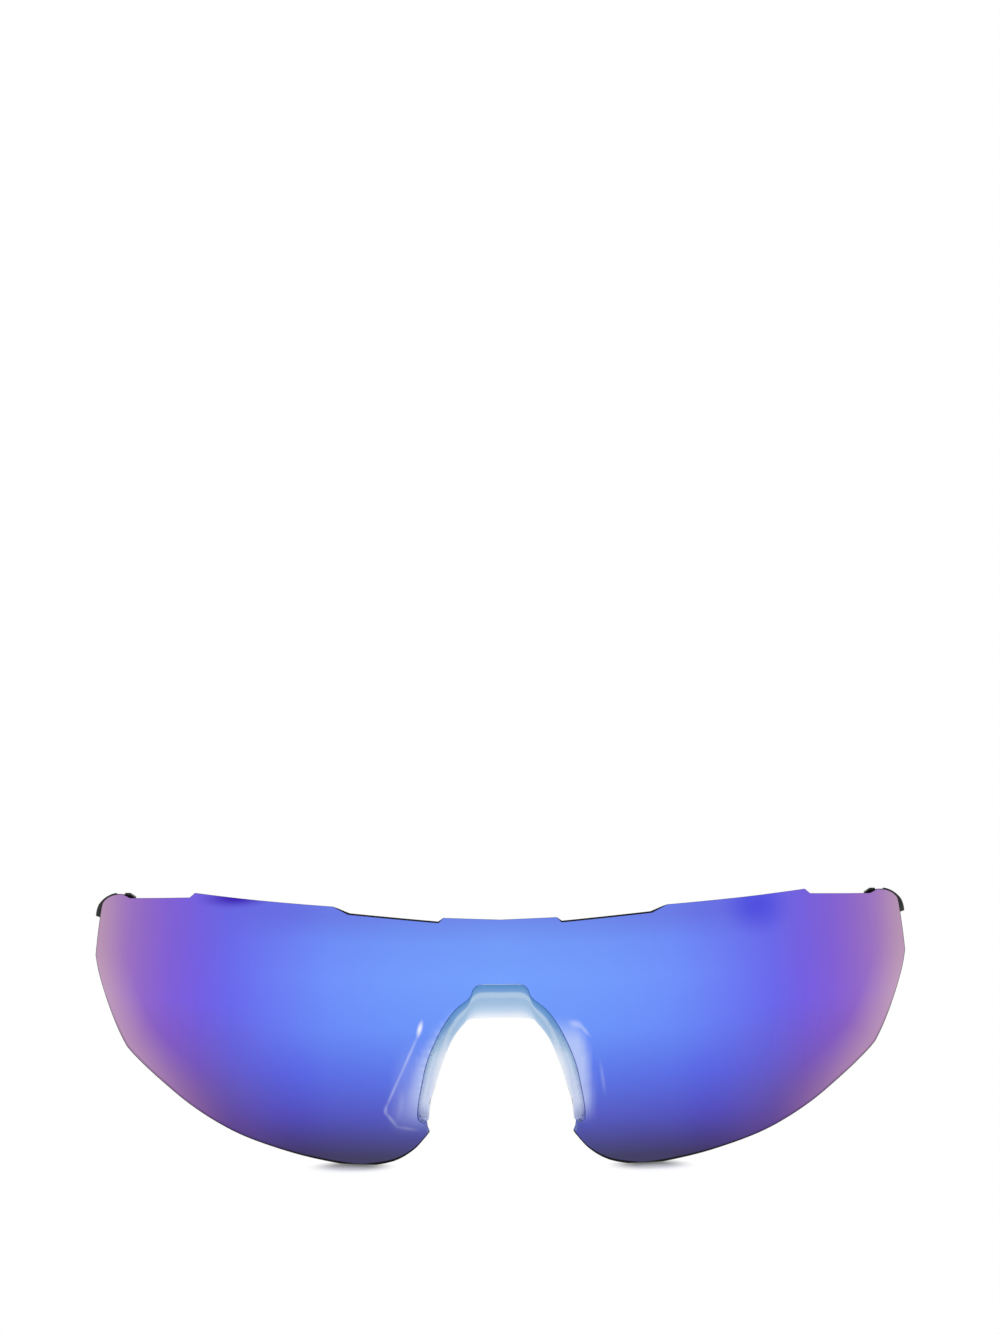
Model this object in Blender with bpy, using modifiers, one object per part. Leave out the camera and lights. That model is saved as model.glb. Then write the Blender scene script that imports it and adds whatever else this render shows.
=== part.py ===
"""Oversized rimless shield sunglasses.

One wrap lens carries everything. A clear nosepiece clips into its nose cut-out and holds two
soft pads. A black endpiece grips each top corner from behind, and a steel barrel hinge on it
carries a temple with a rubber grip on its ear end.

Metres, +Z up. +X is the right-hand side seen from the front, and the wearer's head is at +Y.
The sunglasses stand open on z = 0, on the lens's two lower edges and on both grips. Pieces are
worked out with y = 0 where the lens's crown would meet the middle line, and their parent empty moves
them so that y = 0 is half way from the nosepiece's face to the back of the grips. The right-hand
hinge and temple are built, and the left ones mirror them.
"""

import math

import bmesh
import bpy
from mathutils import Matrix, Vector

MM = 0.001

# Whole object
OVERALL_DEPTH = 162.0 * MM
CUT_OVERRUN = 3.0 * MM
FIT_GAP = 0.2 * MM
SEAT_GAP = 0.1 * MM
SEAT_GROWTH = 1.4
WELD_DISTANCE = 0.001 * MM

# Lens: an ellipse in plan, and an arc from top to bottom
LENS_WIDTH = 151.0 * MM
LENS_HEIGHT = 47.2 * MM
LENS_THICKNESS = 2.0 * MM
PLAN_MARGIN = 24.5 * MM
PLAN_ACROSS = LENS_WIDTH / 2 + PLAN_MARGIN
PLAN_DEPTH = 140.0 * MM
CROWN_RADIUS = 110.0 * MM
CROWN_HEIGHT = 24.6 * MM
REST_CUT = 0.25 * MM
LENS_COLUMN = 2.3 * MM
LENS_ROW_COUNT = 8

# Outlines of the right half, as shares of the lens's half width and of its height
TOP_RUN_SHARES = (
    ((0.0, 0.919), (0.135, 0.926)),
    ((0.147, 0.913), (0.363, 0.941)),
    ((0.402, 0.964), (0.483, 0.971), (0.608, 0.983), (0.751, 1.0)),
    ((0.763, 0.982), (0.922, 0.967)),
    ((0.946, 0.981), (0.966, 0.977), (0.984, 0.964), (0.996, 0.943), (0.9985, 0.917)),
)
NOSE_BLANK_SHARES = (
    (0.0, 0.6), (0.07, 0.58), (0.11, 0.5), (0.135, 0.4), (0.148, 0.28), (0.152, 0.19), (0.176, 0.124),
)
LOBE_SHARES = (
    (0.176, 0.124), (0.211, 0.066), (0.261, 0.021), (0.327, 0.0), (0.364, 0.0), (0.425, 0.012),
    (0.51, 0.038), (0.615, 0.085), (0.687, 0.134), (0.758, 0.2), (0.83, 0.286), (0.874, 0.343),
    (0.905, 0.388), (0.917, 0.415), (0.936, 0.473), (0.959, 0.555), (0.987, 0.667), (1.0, 0.737),
)
NOSE_ARCH_SHARES = (
    (0.0, 0.682), (0.046, 0.681), (0.063, 0.665), (0.073, 0.631), (0.109, 0.583), (0.143, 0.502),
    (0.172, 0.398), (0.188, 0.288), (0.191, 0.243),
)
NOSE_TOE_SHARES = ((0.175, 0.163), (0.167, 0.06), (0.166, -0.06))
CORNER_SHARE = (0.9985, 0.917)
CURVE_STEPS = 4
OFFSET_SHARE = 0.97

# Nosepiece
CLIP_RECESS = 0.15 * MM
FLANGE_WIDTH = 1.6 * MM
FLANGE_THICKNESS = 1.6 * MM
LUG_RADIUS = 1.3 * MM
LUG_PLACE_SHARE = (0.1875, 0.201)
LUG_TURN = math.radians(70.0)
LUG_STEPS = 7
OPENING_SHARES = (
    (0.0, 0.555), (0.07, 0.551), (0.09, 0.53), (0.118, 0.472), (0.144, 0.379), (0.166, 0.275),
    (0.174, 0.237), (0.176, 0.15),
)
CLIP_FOOT_SHARE = 0.15

# Nose pads: from the clip's back, flaring out and back
PAD_THICKNESS = 2.2 * MM
PAD_DEPTH = 11.4 * MM
PAD_BULGE = 1.0 * MM
RIB_THICKNESS = 0.9 * MM
RIB_DEPTH = 3.0 * MM
PAD_FRONT_SHARES = ((0.119, 0.55), (0.151, 0.425), (0.177, 0.305), (0.19, 0.165))
PAD_REAR_SHARES = ((0.19, 0.562), (0.223, 0.43), (0.255, 0.3), (0.281, 0.197), (0.262, 0.155))
PAD_COLUMN_COUNT = 10
PAD_ROW_COUNT = 6
RIB_COLUMN_SHARES = (0.08, 0.9)
PAD_REGION_SHARES = ((0.04, 0.05), (0.4, 0.7))

# Endpiece: a lip round the lens's corner, a tongue behind the lens and a block for the hinge
LIP_REACH = 1.3 * MM
LIP_RISE = 2.7 * MM
LIP_HEIGHT = 4.0 * MM
ENDPIECE_WIDTH = 4.5 * MM
ENDPIECE_HEIGHT = 9.0 * MM
ENDPIECE_LENGTH = 9.1 * MM
BLOCK_WIDTH = 3.4 * MM
BLOCK_FORWARD = 9.0 * MM
BLOCK_ROUND = 0.7 * MM
LIP_UNDERCUT = 0.4 * MM
LIP_REAR_SHARE = 0.25
LIP_STEPS = 12
TEMPLE_DROP = 0.45 * MM
FACE_RECESS = 0.3 * MM
TONGUE_THICKNESS = 1.8 * MM
TONGUE_SHARES = (
    (0.835, 0.9), (0.85, 0.885), (0.985, 0.885), (0.985, 0.955), (0.85, 0.958), (0.835, 0.943),
)
LUG_PLACE = 1.0 * MM
LUG_WIDTH = 2.55 * MM
LUG_TOP_WIDTH = 1.5 * MM
LUG_RISE = 0.35 * MM
LUG_FORWARD = 7.0 * MM
LUG_SLANT = 0.7 * MM
LUG_HEIGHT = 2.0 * MM
LUG_DEPTH = 5.0 * MM
AHEAD_SHARES = ((0.8, 0.6), (1.12, 1.15))
AHEAD_DEPTH = 14.0 * MM

# Hinge: two knuckles on the front leaf, one on the temple's, and a screw for a pin
BARREL_RADIUS = 1.5 * MM
PIN_RADIUS = 0.65 * MM
PIN_CLEARANCE = 0.09 * MM
PIN_HEAD_RADIUS = 1.25 * MM
PIN_SPARE = 0.3 * MM
KNUCKLE_HEIGHT = 1.9 * MM
KNUCKLE_GAP = 0.1 * MM
LEAF_THICKNESS = 0.7 * MM
LEAF_LENGTH = 8.4 * MM
LEAF_GAP = 0.15 * MM
LEAF_INSET = 0.05 * MM
LEAF_SCREWS = 2
BARREL_SIDES = 24
END_GAP = 0.3 * MM
SCREW_RADIUS = 0.6 * MM
SCREW_HEAD_RADIUS = 1.1 * MM
SCREW_HEAD_HEIGHT = 0.5 * MM
SCREW_BITE = 2.3 * MM
SCREW_CLEARANCE = 0.1 * MM
SCREW_SIDES = 16
SLOT_WIDTH = 0.35 * MM
SLOT_DEPTH = 0.25 * MM
FIRST_SCREW = 3.5 * MM
SCREW_PITCH = 2.9 * MM

# Temple: a straight arm, a bend behind the ear and a straight end, down to the table
TEMPLE_SLOPE = math.radians(8.0)
EAR_SLOPE = math.radians(50.0)
EAR_RADIUS = 28.0 * MM
TEMPLE_THICKNESS = 3.5 * MM
TEMPLE_HEIGHT = 7.6 * MM
ARM_THICKNESS = 2.8 * MM
ARM_HEIGHT = 5.6 * MM
TEMPLE_ROUND_SHARE = 0.3
SECTION_STEPS = 3
TOE_IN = 12.5 * MM
TOE_IN_POWER = 1.7
TOE_IN_START = 13.0 * MM
ARM_STEP = 7.0 * MM
CORE_THICKNESS = 1.8 * MM
CORE_HEIGHT = 3.6 * MM

# Temple grip: a rubber sleeve over the temple's core
GRIP_LENGTH = 58.0 * MM
GRIP_THICKNESS = 4.6 * MM
GRIP_HEIGHT = 7.4 * MM
GRIP_MOUTH_THICKNESS = 3.4 * MM
GRIP_MOUTH_HEIGHT = 6.2 * MM
GRIP_SWELL = 14.0 * MM
GRIP_END_WALL = 6.5 * MM
GRIP_STEP = 4.5 * MM
GRIP_REST_CUT = 0.35 * MM
TIP_DOME = 3.0 * MM
TIP_DOME_SHARES = ((0.0, 1.0), (0.5, 0.9), (0.85, 0.66), (1.0, 0.4))
GRIP_ROUND_SHARE = 0.45

SMOOTH_ANGLE = math.radians(35.0)
SIDES = (("left", -1), ("right", 1))

# Colour, metallic and roughness of each piece's material
FINISHES = {
    "mirror_lens": ((0.16, 0.2, 0.82), 0.85, 0.08),
    "clear_clip": ((0.86, 0.9, 0.95), 0.0, 0.12),
    "clear_pad": ((0.9, 0.92, 0.95), 0.0, 0.35),
    "black_nylon": ((0.012, 0.012, 0.014), 0.0, 0.3),
    "grip_rubber": ((0.02, 0.02, 0.022), 0.0, 0.7),
    "hinge_steel": ((0.56, 0.57, 0.58), 1.0, 0.3),
}


def clear_scene():
    """Removes every object, so the part starts from an empty scene."""
    for obj in list(bpy.data.objects):
        bpy.data.objects.remove(obj, do_unlink=True)


def new_collection(name):
    """A collection of the scene, for the parts or for the cutters."""
    collection = bpy.data.collections.new(name)
    bpy.context.scene.collection.children.link(collection)
    return collection


def lens_point(across, height, depth=0.0):
    """Point of the lens: across its ellipse, at a height on its front face, and this deep into it."""
    turn = math.asin(across / PLAN_ACROSS)
    rise = math.asin((height - CROWN_HEIGHT) / CROWN_RADIUS)
    plan = Vector((PLAN_ACROSS * math.sin(turn), PLAN_DEPTH * (1.0 - math.cos(turn)), 0.0))
    inward = Vector((-PLAN_DEPTH * math.sin(turn), PLAN_ACROSS * math.cos(turn), 0.0)).normalized()
    reach = CROWN_RADIUS - depth
    sag = CROWN_RADIUS - reach * math.cos(rise)
    return plan + inward * sag + Vector((0.0, 0.0, CROWN_HEIGHT + reach * math.sin(rise)))


def face_place(share):
    """Across and height on the lens's face for a share of its half width and of its height."""
    return Vector((share[0] * LENS_WIDTH / 2, share[1] * (LENS_HEIGHT + REST_CUT) - REST_CUT))


def smooth_run(points, steps=CURVE_STEPS):
    """Curve through the points, as short straight steps."""
    if len(points) == 2:
        return [points[0], points[1]]
    line = []
    for i in range(len(points) - 1):
        before = points[max(i - 1, 0)]
        start, end = points[i], points[i + 1]
        after = points[min(i + 2, len(points) - 1)]
        for step in range(steps):
            t = step / steps
            line.append(
                0.5 * (
                    2 * start + (end - before) * t
                    + (2 * before - 5 * start + 4 * end - after) * t * t
                    + (3 * start - before - 3 * end + after) * t * t * t
                )
            )
    return line + [points[-1]]


def lengths_along(line):
    """Running length at each point of a line."""
    totals = [0.0]
    for start, end in zip(line, line[1:]):
        totals.append(totals[-1] + (end - start).length)
    return totals


def point_along(line, share):
    """Point at a share of a line's length."""
    totals = lengths_along(line)
    target = share * totals[-1]
    for i in range(len(line) - 1):
        if target <= totals[i + 1]:
            part = (target - totals[i]) / (totals[i + 1] - totals[i])
            return line[i].lerp(line[i + 1], part)
    return line[-1]


def offset_line(line, distance):
    """The line moved to its left as it runs, or right if less than 0, without loops in tight bends."""
    moved = []
    for i, point in enumerate(line):
        ahead = line[min(i + 1, len(line) - 1)] - line[max(i - 1, 0)]
        place = point + Vector((-ahead.y, ahead.x)).normalized() * distance
        if min((place - other).length for other in line) > abs(distance) * OFFSET_SHARE:
            moved.append(place)
    return moved


def mirrored_outline(half):
    """Closed outline from its right half, which starts on the middle line."""
    return half + [Vector((-point.x, point.y)) for point in reversed(half[1:])]


def new_object(name, mesh, collection):
    """Object of a mesh in a collection."""
    obj = bpy.data.objects.new(name, mesh)
    collection.objects.link(obj)
    return obj


def mesh_from(name, work):
    """Mesh of a bmesh, with its faces pointing out."""
    bmesh.ops.recalc_face_normals(work, faces=work.faces)
    if work.calc_volume(signed=True) < 0:
        bmesh.ops.reverse_faces(work, faces=work.faces)
    mesh = bpy.data.meshes.new(name)
    work.to_mesh(mesh)
    work.free()
    return mesh


def evaluated_mesh(obj):
    """Mesh of an object with its modifiers, in world space."""
    depsgraph = bpy.context.evaluated_depsgraph_get()
    depsgraph.update()
    evaluated = obj.evaluated_get(depsgraph)
    mesh = bpy.data.meshes.new_from_object(evaluated, depsgraph=depsgraph)
    mesh.transform(obj.matrix_world)
    return mesh


def slab(name, outline, thickness, place):
    """Solid of a flat outline and a thickness, whose points are then moved by place."""
    curve = bpy.data.curves.new(name, "CURVE")
    curve.dimensions = "2D"
    curve.fill_mode = "BOTH"
    curve.extrude = thickness / 2
    spline = curve.splines.new("POLY")
    spline.points.add(len(outline) - 1)
    for point, corner in zip(spline.points, outline):
        point.co = (corner.x, corner.y, 0.0, 1.0)
    spline.use_cyclic_u = True
    guide = new_object(name + "_outline", curve, CUTTERS)
    mesh = evaluated_mesh(guide)
    bpy.data.objects.remove(guide, do_unlink=True)
    work = bmesh.new()
    work.from_mesh(mesh)
    bmesh.ops.remove_doubles(work, verts=work.verts, dist=WELD_DISTANCE)
    for vertex in work.verts:
        vertex.co = place(vertex.co.copy())
    return new_object(name, mesh_from(name, work), CUTTERS)


def lens_slab(name, outline, front, back):
    """Solid that follows the lens, from one depth behind its front face to another."""
    middle = (front + back) / 2
    return slab(name, outline, back - front, lambda co: lens_point(co.x, co.y, middle + co.z))


def lens_wall(name, region, front, back):
    """Wall that follows the lens over a region given by two corners, as shares of its face."""
    low, high = (face_place(share) for share in region)
    rows = []
    for j in range(LENS_ROW_COUNT + 1):
        up = low.y + (high.y - low.y) * j / LENS_ROW_COUNT
        spread = [low.x + (high.x - low.x) * i / LENS_ROW_COUNT for i in range(LENS_ROW_COUNT + 1)]
        rows.append([lens_point(across, up, front) for across in spread])
    wall = sheet(name, rows)
    solidify(wall, back - front, -1.0)
    return wall


def loft(name, rings):
    """Closed solid through rings of points, each with as many points as the others."""
    work = bmesh.new()
    rows = [[work.verts.new(point) for point in ring] for ring in rings]
    for row, following in zip(rows, rows[1:]):
        for i in range(len(row)):
            j = (i + 1) % len(row)
            work.faces.new((row[i], row[j], following[j], following[i]))
    work.faces.new(rows[0])
    work.faces.new(rows[-1])
    return new_object(name, mesh_from(name, work), CUTTERS)


def sheet(name, rows):
    """Open surface through rows of points."""
    work = bmesh.new()
    grid = [[work.verts.new(point) for point in row] for row in rows]
    for row, following in zip(grid, grid[1:]):
        for i in range(len(row) - 1):
            work.faces.new((row[i], row[i + 1], following[i + 1], following[i]))
    mesh = bpy.data.meshes.new(name)
    work.to_mesh(mesh)
    work.free()
    return new_object(name, mesh, CUTTERS)


def box(name, low, high):
    """Box between two corners."""
    work = bmesh.new()
    bmesh.ops.create_cube(work, size=1.0)
    size = Vector(high) - Vector(low)
    middle = (Vector(high) + Vector(low)) / 2
    for vertex in work.verts:
        vertex.co = middle + Vector(a * b for a, b in zip(vertex.co, size))
    return new_object(name, mesh_from(name, work), CUTTERS)


def rod(name, start, end, radius, sides):
    """Cylinder between two points on one of the axes."""
    axis = Vector(end) - Vector(start)
    work = bmesh.new()
    bmesh.ops.create_cone(
        work, cap_ends=True, segments=sides, radius1=radius, radius2=radius, depth=axis.length
    )
    turn = Vector((0.0, 0.0, 1.0)).rotation_difference(axis).to_matrix().to_4x4()
    work.transform(Matrix.Translation((Vector(start) + Vector(end)) / 2) @ turn)
    return new_object(name, mesh_from(name, work), CUTTERS)


def combine(obj, other, operation):
    """Boolean of another solid with this one."""
    modifier = obj.modifiers.new(operation.lower(), "BOOLEAN")
    modifier.operation = operation
    modifier.solver = "EXACT"
    modifier.object = other


def solidify(obj, thickness, offset):
    """Wall on an open surface: -1 puts it behind the surface, and 0 on both sides."""
    modifier = obj.modifiers.new("wall", "SOLIDIFY")
    modifier.thickness = thickness
    modifier.offset = offset
    modifier.use_even_offset = True


def finish(name, blank, finish_name, origin, side=1):
    """The named part of a blank: its mesh with every cut made, mirrored for side -1."""
    mesh = evaluated_mesh(blank)
    if side < 0:
        mesh.transform(Matrix.Scale(-1.0, 4, Vector((1.0, 0.0, 0.0))))
        mesh.flip_normals()
    place = Vector((origin.x * side, origin.y, origin.z))
    mesh.transform(Matrix.Translation(-place))
    mesh.shade_smooth()
    mesh.set_sharp_from_angle(angle=SMOOTH_ANGLE)
    mesh.materials.clear()
    mesh.materials.append(new_material(name, finish_name))
    part = new_object(name, mesh, PARTS)
    part.location = place
    part.parent = BASE
    return part


def new_material(name, finish_name):
    """Principled material of one piece."""
    colour, metallic, roughness = FINISHES[finish_name]
    material = bpy.data.materials.new(name)
    material.use_nodes = True
    shader = material.node_tree.nodes["Principled BSDF"]
    shader.inputs["Base Color"].default_value = (*colour, 1.0)
    shader.inputs["Metallic"].default_value = metallic
    shader.inputs["Roughness"].default_value = roughness
    return material


def top_edge():
    """The lens's stepped top edge, from the middle to its outer corner, with its steps sharp."""
    line = []
    for shares in TOP_RUN_SHARES:
        run = smooth_run([face_place(share) for share in shares])
        count = max(1, math.ceil(lengths_along(run)[-1] / LENS_COLUMN))
        line += [point_along(run, i / count) for i in range(count + 1)]
    return line


def lens_rows():
    """Front face of the right half: rows between its lower and its upper edge."""
    top = top_edge()
    nose = smooth_run([face_place(share) for share in NOSE_BLANK_SHARES])
    lobe = smooth_run([face_place(share) for share in LOBE_SHARES])
    toe = next(i for i, point in enumerate(top) if point.x > nose[-1].x)
    outer = lengths_along(top[toe:])
    bottom = [point_along(nose, top[i].x / top[toe].x) for i in range(toe)]
    bottom += [point_along(lobe, total / outer[-1]) for total in outer]
    rows = []
    for row in range(LENS_ROW_COUNT + 1):
        places = [low.lerp(high, row / LENS_ROW_COUNT) for low, high in zip(bottom, top)]
        rows.append([lens_point(place.x, place.y) for place in places])
    return rows


def nose_cut_half():
    """Right half of the lens's nose cut-out, down to below the lens, with a pocket for the clip's lug."""
    arch = smooth_run([face_place(share) for share in NOSE_ARCH_SHARES])
    middle = face_place(LUG_PLACE_SHARE)
    turns = [LUG_TURN * (1 - 2 * i / LUG_STEPS) for i in range(LUG_STEPS + 1)]
    pocket = [middle + Vector((math.cos(turn), math.sin(turn))) * LUG_RADIUS for turn in turns]
    return arch + pocket + smooth_run([face_place(share) for share in NOSE_TOE_SHARES])


def lens_blank():
    """The lens: a curved sheet with a wall, its nose cut-out, and flats to rest on."""
    blank = sheet("lens_blank", lens_rows())
    mirror = blank.modifiers.new("both_halves", "MIRROR")
    mirror.use_axis = (True, False, False)
    mirror.merge_threshold = WELD_DISTANCE
    solidify(blank, LENS_THICKNESS, -1.0)
    depths = (-CUT_OVERRUN, LENS_THICKNESS + CUT_OVERRUN)
    outline = mirrored_outline(nose_cut_half())
    combine(blank, lens_slab("nose_cutter", outline, *depths), "DIFFERENCE")
    combine(blank, table_cutter(), "DIFFERENCE")
    return blank


def table_cutter():
    """Everything below the table top, where the sunglasses rest."""
    reach = OVERALL_DEPTH + LENS_WIDTH
    return box("table_cutter", (-reach, -reach, -LENS_HEIGHT), (reach, reach, 0.0))


def grown(obj, distance):
    """Solid a little larger than another, to cut its seat."""
    copy = new_object(obj.name + "_seat", evaluated_mesh(obj), CUTTERS)
    modifier = copy.modifiers.new("grow", "DISPLACE")
    modifier.strength = distance
    modifier.mid_level = 0.0
    return copy


def pad_surface(column, row):
    """Middle surface of the right nose pad: column 0 to 1 down it, row 0 to 1 from the clip back."""
    front = point_along(smooth_run([face_place(share) for share in PAD_FRONT_SHARES]), column)
    rear = point_along(smooth_run([face_place(share) for share in PAD_REAR_SHARES]), column)
    start = lens_point(front.x, front.y, CLIP_BACK)
    across = start.lerp(Vector((rear.x, start.y, rear.y)), row)
    return across + Vector((-PAD_BULGE * math.sin(math.pi * row), PAD_DEPTH * row, 0.0))


def pad_sheet(name, row_start, row_end, column_start, column_end):
    """Open surface over a stretch of the pad."""
    count = max(2, round(PAD_ROW_COUNT * (row_end - row_start)))
    rows = []
    for j in range(count + 1):
        row = row_start + (row_end - row_start) * j / count
        columns = [
            column_start + (column_end - column_start) * i / PAD_COLUMN_COUNT
            for i in range(PAD_COLUMN_COUNT + 1)
        ]
        rows.append([pad_surface(column, row) for column in columns])
    return sheet(name, rows)


def rib_blank(name, extra):
    """The clip's rib that carries the pad, or with some extra all round, the slot for it."""
    first, last = RIB_COLUMN_SHARES
    spare = extra / LENS_HEIGHT
    row_start = -FLANGE_THICKNESS / 2 / PAD_DEPTH
    blank = pad_sheet(name, row_start, (RIB_DEPTH + extra) / PAD_DEPTH, first - spare, last + spare)
    solidify(blank, RIB_THICKNESS + 2 * extra, 0.0)
    return blank


def pad_blank():
    """The right nose pad: a soft blade, slotted for the clip's rib and cut to the clip's back."""
    blank = pad_sheet("pad_blank", -FLANGE_THICKNESS / PAD_DEPTH, 1.0, 0.0, 1.0)
    solidify(blank, PAD_THICKNESS, 0.0)
    face_cutter = lens_wall("pad_face_cutter", PAD_REGION_SHARES, -CUT_OVERRUN, CLIP_BACK + SEAT_GAP)
    combine(blank, face_cutter, "DIFFERENCE")
    combine(blank, rib_blank("pad_slot", SEAT_GAP), "DIFFERENCE")
    return blank


def mirror_copy(obj):
    """The solid of an object, on the other side."""
    mesh = evaluated_mesh(obj)
    mesh.transform(Matrix.Scale(-1.0, 4, Vector((1.0, 0.0, 0.0))))
    mesh.flip_normals()
    return new_object(obj.name + "_other_side", mesh, CUTTERS)


def lens_shoulder():
    """The lens's room round the nose cut-out, with a gap all round: what stays clear of the clip."""
    inner = offset_line(nose_cut_half(), -FIT_GAP)
    inner[0].x = 0.0
    reach = FLANGE_WIDTH + CUT_OVERRUN
    far, high, low = inner[-1].x + reach, inner[0].y + reach, inner[-1].y
    frame = [Vector((far, low)), Vector((far, high)), Vector((-far, high)), Vector((-far, low))]
    outline = inner + frame + [Vector((-point.x, point.y)) for point in inner[:0:-1]]
    return lens_slab("lens_shoulder", outline, -CUT_OVERRUN, LENS_THICKNESS + FIT_GAP)


def clip_blank():
    """The clear nosepiece: an arch in the lens's cut-out, a flange behind it, and a rib for each pad."""
    foot = face_place((0.0, CLIP_FOOT_SHARE)).y
    arch = smooth_run([face_place(share) for share in NOSE_ARCH_SHARES + NOSE_TOE_SHARES])
    outer = [point for point in offset_line(arch, FLANGE_WIDTH) if point.y > foot]
    inner = smooth_run([face_place(share) for share in OPENING_SHARES])
    outer[0].x = 0.0
    band = outer + [Vector((outer[-1].x, foot)), Vector((inner[-1].x, foot))] + inner[::-1]
    outline = band + [Vector((-point.x, point.y)) for point in band[-2:0:-1]]
    blank = lens_slab("clip_blank", outline, CLIP_RECESS, CLIP_BACK)
    combine(blank, lens_shoulder(), "DIFFERENCE")
    rib = rib_blank("rib_blank", 0.0)
    combine(blank, rib, "UNION")
    combine(blank, mirror_copy(rib), "UNION")
    return blank


def endpiece_profile():
    """Front view of the endpiece: a round lip at its top and the hinge block under it."""
    turns = [math.pi / 2 * (1 - i / LIP_STEPS) for i in range(LIP_STEPS + 1)]
    lip = [
        Vector((
            INNER_FACE + ENDPIECE_WIDTH * math.cos(turn),
            LIP_TOP - LIP_HEIGHT + LIP_HEIGHT * math.sin(turn),
        ))
        for turn in turns
    ]
    bottom = LIP_TOP - ENDPIECE_HEIGHT
    return lip + [
        Vector((BLOCK_OUT, LIP_TOP - LIP_HEIGHT - LIP_UNDERCUT)),
        Vector((BLOCK_OUT, bottom + BLOCK_ROUND)),
        Vector((BLOCK_OUT - BLOCK_ROUND, bottom)),
        Vector((INNER_FACE, bottom)),
    ]


def endpiece_point(co, middle):
    """Place of a point of the endpiece's profile, which narrows towards the temple."""
    back = middle + co.z
    share = (back - CORNER.y) / ENDPIECE_LENGTH
    centre = LIP_TOP - ENDPIECE_HEIGHT / 2
    proud = max(co.x - BLOCK_OUT, 0.0) * (1 - LIP_REAR_SHARE)
    rear = Vector((co.x - proud, TEMPLE_Z + (co.y - centre) * TEMPLE_HEIGHT / ENDPIECE_HEIGHT))
    across, up = Vector((co.x, co.y)).lerp(rear, share)
    return Vector((across, back, up))


def lug_blank():
    """The endpiece's lug, behind the lens and inwards of the lip: it shows over the lens's upper edge."""
    outer = INNER_FACE - LUG_PLACE
    top = LIP_TOP + LUG_RISE
    outline = [
        Vector((outer - LUG_TOP_WIDTH, top)), Vector((outer, top)), Vector((outer, top - LUG_HEIGHT)),
        Vector((outer - LUG_WIDTH, top - LUG_HEIGHT)), Vector((outer - LUG_WIDTH, top - LUG_SLANT)),
    ]
    middle = CORNER.y - LUG_FORWARD + LUG_DEPTH / 2
    lug = slab("endpiece_lug", outline, LUG_DEPTH, lambda co: Vector((co.x, middle + co.z, co.y)))
    behind = LENS_THICKNESS + FIT_GAP
    combine(lug, lens_wall("lug_cutter", AHEAD_SHARES, -AHEAD_DEPTH, behind), "DIFFERENCE")
    return lug


def endpiece_blank(lens_seat):
    """The right endpiece, in front of its hinge: it follows the lens's front face, a little behind it."""
    front = CORNER.y - BLOCK_FORWARD
    middle = (front + REAR_FACE) / 2
    blank = slab(
        "endpiece_blank", endpiece_profile(), REAR_FACE - front, lambda co: endpiece_point(co, middle)
    )
    tongue = [face_place(share) for share in TONGUE_SHARES]
    behind = LENS_THICKNESS + FIT_GAP
    combine(blank, lens_slab("tongue", tongue, behind, behind + TONGUE_THICKNESS), "UNION")
    combine(blank, lug_blank(), "UNION")
    combine(blank, lens_wall("ahead_cutter", AHEAD_SHARES, -AHEAD_DEPTH, FACE_RECESS), "DIFFERENCE")
    combine(blank, lens_seat, "DIFFERENCE")
    for y in screw_rows(-1):
        combine(blank, screw_bore("endpiece_bore", y), "DIFFERENCE")
    return blank


def screw_rows(direction):
    """Distances along y of a leaf's two screws."""
    return [PIVOT.y + direction * (FIRST_SCREW + SCREW_PITCH * i) for i in range(LEAF_SCREWS)]


def screw_bore(name, y):
    """Bore for a leaf screw, through the leaf and into what it is fastened to."""
    start = (PLATE_NEAR - CUT_OVERRUN, y, TEMPLE_Z)
    end = (PLATE_FAR + SCREW_BITE + END_GAP, y, TEMPLE_Z)
    return rod(name, start, end, SCREW_RADIUS + SCREW_CLEARANCE, SCREW_SIDES)


def screw_blank(name, radius, head_radius, length):
    """Slotted screw: a turned head and shank, its head's seat at the origin and its shank along -Z."""
    profile = (
        (0.0, SCREW_HEAD_HEIGHT), (head_radius, SCREW_HEAD_HEIGHT), (head_radius, 0.0),
        (radius, 0.0), (radius, -length), (0.0, -length),
    )
    mesh = bpy.data.meshes.new(name)
    points = [(across, 0.0, up) for across, up in profile]
    mesh.from_pydata(points, [(i, i + 1) for i in range(len(points) - 1)], [])
    blank = new_object(name, mesh, CUTTERS)
    turned = blank.modifiers.new("turned", "SCREW")
    turned.axis = "Z"
    turned.steps = SCREW_SIDES
    turned.render_steps = SCREW_SIDES
    turned.use_merge_vertices = True
    turned.merge_threshold = WELD_DISTANCE
    low = (-head_radius - CUT_OVERRUN, -SLOT_WIDTH / 2, SCREW_HEAD_HEIGHT - SLOT_DEPTH)
    high = (head_radius + CUT_OVERRUN, SLOT_WIDTH / 2, SCREW_HEAD_HEIGHT + CUT_OVERRUN)
    combine(blank, box(name + "_slot", low, high), "DIFFERENCE")
    return blank


def placed_copy(blank, matrix):
    """The solid of a blank, moved to its place."""
    mesh = evaluated_mesh(blank)
    mesh.transform(matrix)
    return new_object(blank.name + "_placed", mesh, CUTTERS)


def knuckle_span(index):
    """Lowest and highest point of a knuckle, counted from the bottom."""
    low = HINGE_LOW + index * (KNUCKLE_HEIGHT + KNUCKLE_GAP)
    return low, low + KNUCKLE_HEIGHT


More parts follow.
